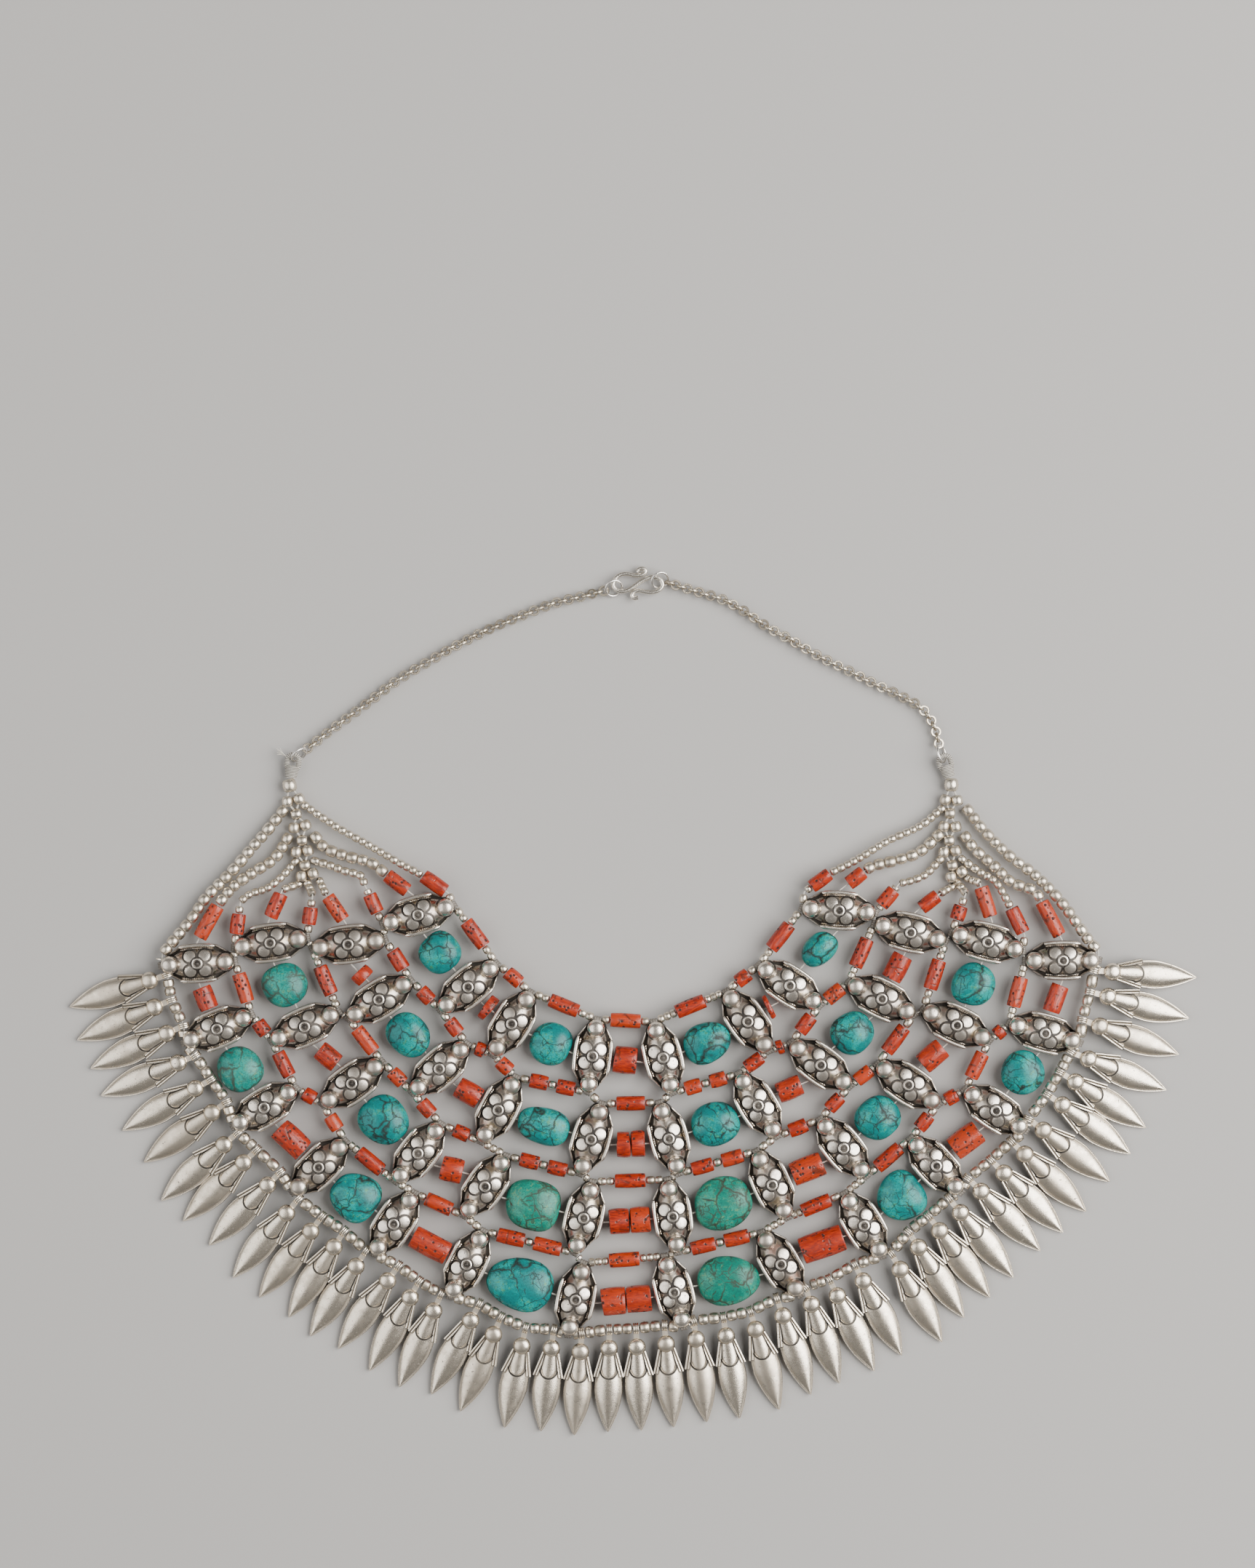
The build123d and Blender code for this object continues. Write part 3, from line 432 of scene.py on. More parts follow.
# Every straight run of the edge strands. A knot's tube or bail, which lies across the bisector
# of its two runs, keeps half its length times the cosine plus half its width times the sine clear
tubeReach = (net["tubeLength"], net["tubeDiameter"])
knotReach = {"i": tubeReach, "o": tubeReach, "p": (net["bailWidth"], net["bailDiameter"]),
             "b": (0.0, net["smallSeed"])}
strands = []
passing = {}
for strand, order in enumerate(beadingOrder):
    names = order.split()
    left, right = (fanRoute(edgeFans[side][strand]) for side in ("left", "right"))
    stops = np.array([left[-1]] + [knotPoint(strand, name) for name in names] + [right[-1]])
    ahead = unit(np.diff(stops, axis=0))
    through = unit(ahead[:-1] + ahead[1:])
    clear = np.full((len(ahead), 2), net["smallSeed"] / 2)
    for k, name in enumerate(names):
        length, diameter = knotReach[name[0]]
        passing[(strand, name)] = (stops[k + 1], through[k])
        for run, end in ((k, 1), (k + 1, 0)):
            cosine = min(1.0, float(ahead[run] @ through[k]))
            clear[run, end] = length / 2 * cosine + diameter / 2 * math.sqrt(1 - cosine**2)
    strands.append({"stops": stops, "ahead": ahead, "clear": clear, "left": left, "right": right,
                    "corals": [[] for _ in ahead]})
print("strands laid", [len(s["ahead"]) for s in strands])


def nearestRun(stops, spot):
    # the run that passes closest: the spot is dropped on each run, no further than its ends
    start, along = stops[:-1], np.diff(stops, axis=0)
    share = np.clip(((spot - start) * along).sum(1) / (along**2).sum(1), 0, 1)
    return int(np.argmin(np.linalg.norm(start + share[:, None] * along - spot, axis=1)))


# A stone is (middle, ahead, length, half width, half height)
strandCorals = []
for strand in range(4):
    own = []
    line = strands[strand]
    for _, points in solidsOf(f"strand_corals_{strand + 1}"):
        run = nearestRun(line["stops"], boxMiddle(points))
        ahead = line["ahead"][run]
        low, high, middle, off = alongRun(points, line["stops"][run], ahead)
        line["corals"][run].append((low, high))
        radius = np.linalg.norm(off, axis=1).max()
        own.append((middle, ahead, high - low, radius, radius))
    strandCorals.append(own)
print("strand corals found", [len(own) for own in strandCorals])


def rowStations(row):
    # a row thread's ends of each run: the left fan, in and out of each flower bead, the right fan
    spots = [fanRoute(rowFans["left"][row])[-1]]
    for centre, direction in flowerRows[row]:
        across = np.cross(up, direction)
        if across @ (1, -0.2 if centre[0] < 0 else 0.2, 0) < 0:
            across = -across
        middle, half = centre + up * net["threadHeight"], across * (net["beadWidth"] / 2 + net["mouth"])
        spots += [middle - half, middle + half]
    return np.array(spots + [fanRoute(rowFans["right"][row])[-1]])


rowCorals, turquoises = [[], [], [], []], []
for row in range(4):
    stations = rowStations(row)
    starts, ends = stations[0::2], stations[1::2]
    kinds = (f"row_corals_{row + 1}", f"turquoise_row_{row + 1}_")
    for node in sorted(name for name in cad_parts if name.startswith(kinds)):
        for _, points in solidsOf(node):
            gaps = np.linalg.norm((starts + ends) / 2 - boxMiddle(points), axis=1)
            run = int(np.argmin(gaps))
            ahead = unit(ends[run] - starts[run])
            low, high, middle, off = alongRun(points, starts[run], ahead)
            wide, tall = np.abs(off @ np.cross(up, ahead)).max(), np.abs(off[:, 2]).max()
            stone = (middle, ahead, high - low, wide, tall)
            if node == kinds[0]:
                rowCorals[row].append(stone)
            else:
                turquoises.append((node, stone))
print("row stones found", sum(len(own) for own in rowCorals), len(turquoises))


def newMaterial(name):
    material = bpy.data.materials.new(name)
    material.use_nodes = True
    return material, material.node_tree, material.node_tree.nodes["Principled BSDF"]


def isSocket(value):
    return isinstance(value, bpy.types.NodeSocket)


def feed(node, values):
    # what comes from another node is joined to its input, a plain value is set
    for key, value in values.items():
        if isSocket(value):
            node.id_data.links.new(value, node.inputs[key])
        else:
            node.inputs[key].default_value = value


def wire(tree, kind, values=None, **settings):
    # adds a node, sets its own values and feeds its inputs
    node = tree.nodes.new(kind)
    for key, value in settings.items():
        setattr(node, key, value)
    feed(node, values or {})
    return node


def sums(operation, *values):
    # one math node, in the tree that its values come from
    tree = next(value for value in values if isSocket(value)).id_data
    return wire(tree, "ShaderNodeMath", dict(enumerate(values)), operation=operation).outputs[0]


def chained(operation):
    # a sum of two or more values
    return lambda *values: functools.reduce(lambda a, b: sums(operation, a, b), values)


plus, minus, times, most = (chained(kind) for kind in ("ADD", "SUBTRACT", "MULTIPLY", "MAXIMUM"))


def scaled(value, factor, start):
    # value * factor + start
    return sums("MULTIPLY_ADD", value, factor, start)


def absolute(value):
    return sums("ABSOLUTE", value)


def farness(a, b):
    # the root of a squared plus b squared
    return sums("SQRT", plus(times(a, a), times(b, b)))


def between(value, low, high, lowOut=0.0, highOut=1.0, kind="SMOOTHSTEP"):
    # goes from lowOut to highOut as the value goes from low to high
    values = {"Value": value, "From Min": low, "From Max": high, "To Min": lowOut, "To Max": highOut}
    return wire(value.id_data, "ShaderNodeMapRange", values, interpolation_type=kind).outputs["Result"]


def masked(fields, rows):
    # a product of masks, each (field, nought, full, share): the mask goes from nothing where the
    # field is at nought to its share, or one, where it is at full
    made = []
    for name, nought, full, *share in rows:
        peak = share[0] if share else 1.0
        ends = (nought, full, 0.0, peak) if nought < full else (full, nought, peak, 0.0)
        made.append(between(fields[name], *ends))
    return times(*made)


def blended(share, a, b):
    # colour a, giving way to colour b
    return wire(share.id_data, "ShaderNodeMix", {0: share, 6: a, 7: b}, data_type="RGBA").outputs[2]


def layered(fields, ground, layers):
    # colours laid over the ground in turn, each through its masks, which are given back too
    colour, masks = rgb(*ground), {}
    for name, (rows, tint) in layers.items():
        masks[name] = masked(fields, rows)
        colour = blended(masks[name], colour, rgb(*tint))
    return colour, masks


def noise(spot, scale, detail=3.0, rough=0.55, twist=0.0):
    values = {"Vector": spot, "Scale": scale, "Detail": detail, "Roughness": rough, "Distortion": twist}
    return wire(spot.id_data, "ShaderNodeTexNoise", values).outputs["Fac"]


def cells(spot, scale, feature):
    # distance to the middle ("F1") or to the edge ("DISTANCE_TO_EDGE") of the nearest cell
    values = {"Vector": spot, "Scale": scale}
    return wire(spot.id_data, "ShaderNodeTexVoronoi", values, feature=feature).outputs["Distance"]


def objectSpot(tree):
    return wire(tree, "ShaderNodeTexCoord").outputs["Object"]


def marked(tree, name, output="Fac"):
    return wire(tree, "ShaderNodeAttribute", attribute_name=name).outputs[output]


def localPlace(tree):
    # x, y and z on the bead or pendant itself, in mm
    return wire(tree, "ShaderNodeSeparateXYZ", {"Vector": marked(tree, "local", "Vector")}).outputs[:3]


def rgb(r, g, b):
    return (r, g, b, 1.0)


def finish(shader, colour, rough, height, others, strength, depth):
    # colour, roughness and bump into the shader, with any other of its inputs; depth in mm
    bump = {"Height": height, "Strength": strength, "Distance": depth * mm}
    normal = wire(shader.id_data, "ShaderNodeBump", bump).outputs["Normal"]
    feed(shader, {"Base Color": colour, "Roughness": rough, "Normal": normal, **others})


# Wear and painted shade of every silver: noises as (scale, detail, roughness), masks as (begins, ends)
wearAndShade = {
    "cloud": (420.0, 5.0, 0.6), "fine": (2600.0, 4.0, 0.7), "specks": (1500.0, 2.0, 0.5),
    "toneShift": 0.24, "fineShare": 0.25, "dull": (0.48, 0.82), "speck": (0.66, 0.74),
    "shadeStrength": (0.4, 0.65, 1.0, 0.85), "rough": 0.2, "dullRough": 0.18, "fineRough": 0.12,
    "dirtAndShadeRough": 0.3, "dirtAndShadeMetallic": -0.92, "cloudHeight": 0.6,
}


def wornShadedMetalGroup():
    # mottled light and dark grey by two noises and the bead's own tone, with specks of dirt
    # and painted shade in the grooves, both in the dirt colour; dull, dirty and shaded places are rougher,
    # and dirt and painted shade are no metal
    group = bpy.data.node_groups.new("worn metal with painted shade", "ShaderNodeTree")
    colours, shares = ("Bright", "Dull", "Dirt and shade"), ("Dullness", "Dirtiness", "Painted shade", "Tone")
    given = {"Spot": "Vector", **dict.fromkeys(colours, "Color"), **dict.fromkeys(shares, "Float")}
    taken = {"Color": "Color", "Roughness": "Float", "Metallic": "Float", "Height": "Float"}
    for direction, sockets in (("INPUT", given), ("OUTPUT", taken)):
        for label, kind in sockets.items():
            group.interface.new_socket(label, in_out=direction, socket_type=f"NodeSocket{kind}")
    inside = group.nodes.new("NodeGroupInput").outputs
    cloud, fine, specks = (noise(inside["Spot"], *wearAndShade[kind]) for kind in ("cloud", "fine", "specks"))
    tone = scaled(inside["Tone"], wearAndShade["toneShift"], -wearAndShade["toneShift"] / 2)
    mottle = scaled(fine, wearAndShade["fineShare"], plus(cloud, tone))
    dull = times(between(mottle, *wearAndShade["dull"]), inside["Dullness"])
    speck = times(between(specks, *wearAndShade["speck"]), inside["Dirtiness"])
    # specks are dirt; the groove input adds painted shade, a little weaker where the cloud is high
    dirtAndShade = most(speck, times(inside["Painted shade"], between(cloud, *wearAndShade["shadeStrength"])))
    rough = scaled(fine, wearAndShade["fineRough"], scaled(dull, wearAndShade["dullRough"], wearAndShade["rough"]))
    feed(group.nodes.new("NodeGroupOutput"), {
        "Color": blended(dirtAndShade, blended(dull, inside["Bright"], inside["Dull"]), inside["Dirt and shade"]),
        "Roughness": scaled(dirtAndShade, wearAndShade["dirtAndShadeRough"], rough),
        "Metallic": scaled(dirtAndShade, wearAndShade["dirtAndShadeMetallic"], 1.0),
        "Height": scaled(cloud, wearAndShade["cloudHeight"], fine),
    })
    return group


# Each silver: its light, dark and dirt colours, the dirt colour also painting shade, and how dull and how
# dirty it is
silvers = {
    "flower": ((0.87, 0.8, 0.71), (0.41, 0.36, 0.31), (0.018, 0.013, 0.01), 0.7, 0.8),
    "pendant": ((0.9, 0.81, 0.68), (0.58, 0.5, 0.4), (0.02, 0.016, 0.012), 0.6, 0.7),
    "seed": ((0.87, 0.79, 0.67), (0.48, 0.41, 0.32), (0.03, 0.024, 0.018), 0.6, 0.6),
    "chain": ((0.72, 0.65, 0.53), (0.4, 0.34, 0.27), (0.08, 0.06, 0.04), 0.8, 0.7),
    "hook": ((0.8, 0.75, 0.67), (0.5, 0.45, 0.38), (0.1, 0.08, 0.06), 0.5, 0.4),
    "ring": ((0.85, 0.82, 0.78), (0.5, 0.47, 0.43), (0.1, 0.08, 0.06), 0.3, 0.4),
}
wornShadedMetal = wornShadedMetalGroup()


def metalMaterial(kind, withPaintedShade=False, depth=0.1):
    # one of the silvers; where it takes painted shade, that shade follows the mark that the shape carries,
    # in the dirt colour
    bright, dull, dirtAndShade, dullness, dirtiness = silvers[kind]
    material, tree, shader = newMaterial(f"{kind} silver")
    wornAndShaded = wire(tree, "ShaderNodeGroup", {}, node_tree=wornShadedMetal)
    feed(wornAndShaded, {"Spot": objectSpot(tree), "Bright": rgb(*bright), "Dull": rgb(*dull), "Dirt and shade": rgb(*dirtAndShade),
                "Dullness": dullness, "Dirtiness": dirtiness, "Tone": marked(tree, "tone")})
    # the mark that the shape carries paints shade in its creases and hollows
    if withPaintedShade:
        feed(wornAndShaded, {"Painted shade": marked(tree, "groove")})
    colour, rough, metallic, height = wornAndShaded.outputs
    finish(shader, colour, rough, height, {"Metallic": metallic}, strength=0.35, depth=depth)
    return material, wornAndShaded, shader


# A flower bead in mm: it lies along X with its back on nought; the petal's profile has its radii as
# shares of the petal's radius
flowerBead = {
    "domeX": 7.7, "domeRadius": 2.45, "domeTop": 8.0, "domeFoot": 5.9, "dent": 0.008,
    "post": [(0.6, 1.2), (2.0, 1.0), (4.6, 1.0), (5.8, 1.5)],
    "petalReach": 2.05, "petalRadius": 1.6, "petalTilt": 18, "petalLean": 0.06, "petalHeight": 6.55,
    "petal": [(-1.4, 0.9), (-0.15, 0.98), (0.08, 1), (0.2, 0.95), (0.26, 0.8), (0.33, 0.45), (0.35, 0.05)],
    "eyeRing": [(6.0, 1.42), (7.05, 1.5), (7.24, 1.45), (7.34, 1.25), (7.3, 1.02), (7.1, 0.88),
                (6.85, 0.8), (6.82, 0.05)],
    "eyeGrain": [(6.7, 0.5), (6.9, 0.56), (7.15, 0.52), (7.36, 0.34), (7.44, 0.04)],
    "barrelLow": 2.15, "barrelSwell": 2.1, "barrelHalf": 7.0, "barrelHeight": 2.7, "barrelFoot": 0.4,
    "trayTipX": 9.85, "trayTipY": 1.7, "trayCorner": 0.35, "trayCut": 0.06,
    "trayLip": [(4.6, 0.02), (0.5, 0.02), (0.08, 0.12), (0.0, 0.4), (0.0, 1.5), (0.1, 1.78),
                (0.26, 1.86), (0.42, 1.76), (0.5, 1.5), (0.52, 0.8), (0.8, 0.62), (4.6, 0.62)],
    "rodY": 4.93, "rodRadius": 0.56, "rodHeight": 5.4, "rodHalf": 4.9, "rodBow": 0.35,
    "wall": bar(0.28, -4.9, -0.2),
    "wireHalf": 4.5, "wireY": 4.13, "wireHeight": 4.75, "wireRadius": 0.27, "wireSwell": 0.28,
    "strapX": (8.2, 8.8, 9.3), "strapHeight": 4.2, "strap": bar(0.6, -0.7, 0.7),
    "tubeHole": 0.9, "tubeRibs": 3, "petalLine": 1.88, "eyeLine": 1.72,
    # each row of masks paints shade on one place, by what is measured on the bead
    "dark": [
        # painted shade in rings round the petals and round the eye
        [("offPetalLine", 0.36, 0.24), ("fromEye", 1.5, 1.6), ("z", 3.0, 3.6)],
        [("offEyeLine", 0.32, 0.2), ("z", 3.0, 3.6)],
        [("fromEye", 0.88, 0.74), ("z", 3.0, 3.6)],             # painted shade round the grain of the eye
        [("fromDome", 3.1, 2.75), ("z", 5.75, 5.2)],            # painted shade at the foot of the domes
        [("y", 3.35, 3.8), ("z", 4.6, 3.9), ("z", 1.7, 2.0)],   # painted shade on the flanks beside the rods
        [("z", 1.6, 1.1, 0.9)],                                 # painted shade low in the tray
        [("y", 5.2, 5.32, 0.8), ("z", 4.4, 4.6)],               # painted shade on the outside of the rods
    ],
    # the open barrel between the petals, which goes part way to the barrel tint as painted shade
    "barrel": [("fromPetal", 1.55, 1.7), ("fromEye", 1.5, 1.7), ("y", 4.3, 3.9), ("z", 2.5, 3.5),
               ("z", 7.4, 7.1), ("fromDome", 2.46, 2.6)],
    "barrelShare": 0.45, "barrelTint": (0.26, 0.21, 0.17),
    # tarnish: colour, scale of its clouds, where they begin and end, and their share
    "tarnish": [((0.5, 0.38, 0.22), 260.0, 0.52, 0.64, 0.6), ((0.42, 0.2, 0.15), 190.0, 0.55, 0.66, 0.55),
                ((0.12, 0.2, 0.13), 330.0, 0.62, 0.7, 0.6)],
}


def flowerMaterial():
    # silver whose painted shade is worked out from each bead's own coordinates: dark rings of painted
    # shade round each petal and the eye, painted shade on the flanks beside the rods and on the barrel
    # between the petals, and tarnish on that barrel
    b = flowerBead
    material, wornAndShaded, shader = metalMaterial("flower", depth=0.05)
    tree = material.node_tree
    x, y, z = localPlace(tree)
    x, y = absolute(x), absolute(y)
    fromPetal = farness(minus(x, b["petalReach"]), minus(y, b["petalReach"]))
    fromEye, fromDome = farness(x, y), farness(minus(x, b["domeX"]), y)
    fields = {"y": y, "z": z, "fromPetal": fromPetal, "fromEye": fromEye, "fromDome": fromDome,
              "offPetalLine": absolute(minus(fromPetal, b["petalLine"])),
              "offEyeLine": absolute(minus(fromEye, b["eyeLine"]))}
    groove = most(*(masked(fields, rows) for rows in b["dark"]))
    barrel = times(masked(fields, b["barrel"]), minus(1.0, groove))
    # painted shade on the barrel between the petals
    colour = blended(times(barrel, b["barrelShare"]), wornAndShaded.outputs["Color"], rgb(*b["barrelTint"]))
    for tint, scale, low, high, share in b["tarnish"]:
        moving = {"Vector": objectSpot(tree), "Location": (scale, 0.3, 0.7)}
        moved = wire(tree, "ShaderNodeMapping", moving).outputs[0]
        cloud = between(noise(moved, scale, 4.0, 0.6), low, high, 0.0, share)
        colour = blended(times(cloud, barrel), colour, rgb(*tint))
    feed(wornAndShaded, {"Painted shade": groove})
    feed(shader, {"Base Color": colour})
    return material


def flowerBeadShape():
    b = flowerBead
    # tray: a long octagon with soft corners, drawn inwards by an inset as its section rounds the lip
    tipX, tipY, sideX, sideY = b["trayTipX"], b["trayTipY"], b["rodHalf"], b["rodY"]
    corners = np.array([(tipX, tipY), (sideX, sideY), (-sideX, sideY), (-tipX, tipY),
                        (-tipX, -tipY), (-sideX, -sideY), (sideX, -sideY), (tipX, -tipY)])
    ahead, back = unit(np.roll(corners, -1, 0) - corners), unit(np.roll(corners, 1, 0) - corners)
    soft = np.stack([corners + back * b["trayCorner"], corners + (back + ahead) * b["trayCut"],
                     corners + ahead * b["trayCorner"]], 1).reshape(-1, 2)
    inward = -soft / (tipX, sideY)
    made = [skinned([np.insert(soft + inward * inset, 2, height, 1) for inset, height in b["trayLip"]])]
    # barrel: its radius swells with the cosine of its length to the 0.8, and its back is flat
    x = np.linspace(-b["barrelHalf"], b["barrelHalf"], 27)
    radius = b["barrelLow"] + b["barrelSwell"] * np.cos(np.pi * x / 2 / b["barrelHalf"]) ** 0.8
    barrel = turned(np.stack([x, radius], -1), 30)
    barrel["points"][:, 2] = np.maximum(barrel["points"][:, 2] + b["barrelHeight"], b["barrelFoot"])
    made.append(barrel)
    # petals: low discs that lean outwards with the barrel
    signs = np.array([(1, 1), (-1, 1), (-1, -1), (1, -1)])
    tilt = math.radians(b["petalTilt"])
    axes = [(b["petalLean"] * sx, math.sin(tilt) * sy, math.cos(tilt)) for sx, sy in signs]
    origins = np.insert(signs * b["petalReach"], 2, b["petalHeight"], 1)
    petal = turned(np.array(b["petal"]) * (1, b["petalRadius"]), 20)
    made.append(copies(petal, origins, axes, (1.0, 0, 0)))
    # eye: a ring with a grain in its hollow
    made += [upright(turned(b[outline], 18)) for outline in ("eyeRing", "eyeGrain")]
    # rods, their walls and the beaded wire inside each: y bows inwards by the square of x
    share = np.linspace(-1, 1, 13)
    ends = np.sqrt(np.clip(1 - np.abs(share) ** 14, 0.12, 1))
    bumps = 1 - b["wireSwell"] + b["wireSwell"] * np.cos(np.arange(49) * np.pi * 2 / 3)
    for hand in (-1, 1):
        x = share * b["rodHalf"]
        rod = gridOf(x, hand * (b["rodY"] - b["rodBow"] * share**2), b["rodHeight"])
        x = np.linspace(-b["wireHalf"], b["wireHalf"], 49)
        wireY = hand * (b["wireY"] - b["rodBow"] * (x / b["rodHalf"]) ** 2)
        made += [carried(rod, circle(b["rodRadius"], 10), scale=ends), carried(rod, b["wall"]),
                 carried(gridOf(x, wireY, b["wireHeight"]), circle(b["wireRadius"], 5), scale=bumps)]
    # domes on their posts, a little hammered, and straps out to the tubes
    foot, wide, t = b["domeFoot"], b["domeRadius"], roundAngles(26)
    under = [(foot - 0.28, 0.05), (foot - 0.3, wide * 0.8), (foot - 0.15, wide * 0.97)]
    dented = 1 + b["dent"] * (np.cos(5 * t + 0.6) + np.cos(3 * t))
    dome = turned(domeOutline(foot, b["domeTop"], wide, under), 26, squash=dented)
    for part in (dome, turned(b["post"], 12)):
        made.append(upright(part, [(-b["domeX"], 0, 0), (b["domeX"], 0, 0)], [(1, 0, 0), (-1, 0, 0)]))
    for end in (-1, 1):
        made.append(carried([(end * x, 0, b["strapHeight"]) for x in b["strapX"]], b["strap"]))
    return inMetres(made)


def ribbedTube(length, diameter, hole, ribs, sides):
    # rounded ribs outside and a plain bore inside: one closed outline turned about X
    rib = np.array([(0.04, 0.42), (0.2, 0.485), (0.5, 0.5), (0.8, 0.485), (0.96, 0.42)])
    starts = -length / 2 + np.arange(ribs) * length / ribs
    outline = np.concatenate([rib * (length / ribs, diameter) + (start, 0) for start in starts]
                             + [[(length / 2, hole / 2), (-length / 2, hole / 2)]])
    # painted shade in the valleys between the ribs and in the bore
    dark = [0.9, 0, 0, 0, 0.9] * ribs + [1.0, 1.0]
    return turned(outline, sides, closed=True, groove=np.repeat(dark, sides))


flowerSilver = flowerMaterial()
beadShape = flowerBeadShape()
endTube = ribbedTube(net["tubeLength"], net["tubeDiameter"], flowerBead["tubeHole"] * mm,
                     flowerBead["tubeRibs"], 12)
# the tubes have no place on the bead: theirs is far out, and at the flank's height where they take painted
# shade
dark = endTube["marks"].pop("groove")
endTube["marks"]["local"] = np.stack([dark * 0, dark * 0 + 20, 6 - 2.1 * dark], -1)
random = np.random.default_rng(11)
for row, found in enumerate(flowerRows):
    centres, directions = zip(*found)
    tone = random.random(len(found))
    numbers = range(1, len(found) + 1)
    knots = [passing[(row, f"i{n}")] for n in numbers] + [passing[(row + 1, f"o{n}")] for n in numbers]
    beads = copies(beadShape, centres, directions, tone=tone)
    tubes = copies(endTube, *zip(*knots), tone=np.tile(tone, 2))
    makePiece(f"flowerBeads{row + 1}", joined([beads, tubes]), flowerSilver,
              [f"flower_beads_row_{row + 1}"], 38)

# A pendant in mm: it lies along X from the middle of its bail to its tip, the thread at nought
pendant = {
    "length": 29.0, "fall": 2.95, "back": 1.15, "bailHole": 1.7, "bailRibs": 3,
    "leafStart": 7.0, "leafTip": 28.7, "leafWidth": 3.65, "leafPeak": 0.47, "leafEdge": 0.35, "rise": 1.35,
    "rimRadius": 0.26, "rimHeight": -0.45,
    "shieldStart": 5.7, "shieldEnd": 13.4, "shieldHalf": 2.1, "shieldHeight": 0.62, "shieldCrown": 0.75,
    "seamRadius": 0.14, "seamHeight": 1.05,
    "wireX": 6.3, "wireAngle": 15.5, "wireLength": 7.1, "wireRadius": 0.34, "wireSlope": -0.08,
    "wires": [(1.25, 0.95), (2.03, 0.8)], "plateY": 1.64, "plateHeight": 0.3, "plateLength": 7.0,
    "plate": bar(0.62, -0.9, 0.35),
    "domeReach": 5.1, "domeRadius": 2.45, "domeFoot": 0.55, "domeTop": 2.35,
    "strapPath": [(1.2, 0, 0.1), (2.4, 0, 0.15), (3.6, 0, 0.2)], "strap": bar(0.75, -0.45, 0.35),
    # each row of masks paints shade on one place, by what is measured on the pendant
    "endLine": 2.34, "edgeSlope": 0.1583, "edgeStart": 0.343, "edgeLine": 0.06, "gapSlope": 0.07,
    "gapHeight": 0.42,
    "dark": [
        [("offEndLine", 0.38, 0.22), ("x", 11.1, 11.4)],                        # shield's end
        [("offEdgeLine", 0.28, 0.16), ("x", 6.4, 6.9), ("x", 11.7, 11.3)],      # shield's edges
        [("fromDome", 3.1, 2.5), ("z", 0.5, 0.1)],                              # foot of the dome
        [("overGap", 1.0, 0.75), ("x", 13.8, 13.3), ("x", 5.0, 6.0)],           # beside the wires
    ],
}


def pendantMaterial():
    # satin silver with lines of painted shade worked out from the pendant's own coordinates: round the
    # shield's end and along its edges, beside its wires and at the foot of the dome, and the painted shade
    # marked on its shape
    p = pendant
    material, wornAndShaded, _ = metalMaterial("pendant")
    x, y, z = localPlace(material.node_tree)
    fromEnd = farness(minus(x, p["shieldEnd"] - p["shieldHalf"]), y)
    edge = sums("MINIMUM", scaled(x, p["edgeSlope"], p["edgeStart"]), p["shieldHalf"])
    fields = {"x": x, "z": z, "fromDome": farness(minus(x, p["domeReach"]), y),
              "offEndLine": absolute(minus(fromEnd, p["endLine"])),
              "offEdgeLine": absolute(minus(absolute(y), edge, p["edgeLine"])),
              "overGap": scaled(x, p["gapSlope"], minus(z, p["gapHeight"]))}
    dark = [masked(fields, rows) for rows in p["dark"]]
    feed(wornAndShaded, {"Painted shade": most(*dark, marked(material.node_tree, "groove"))})
    return material


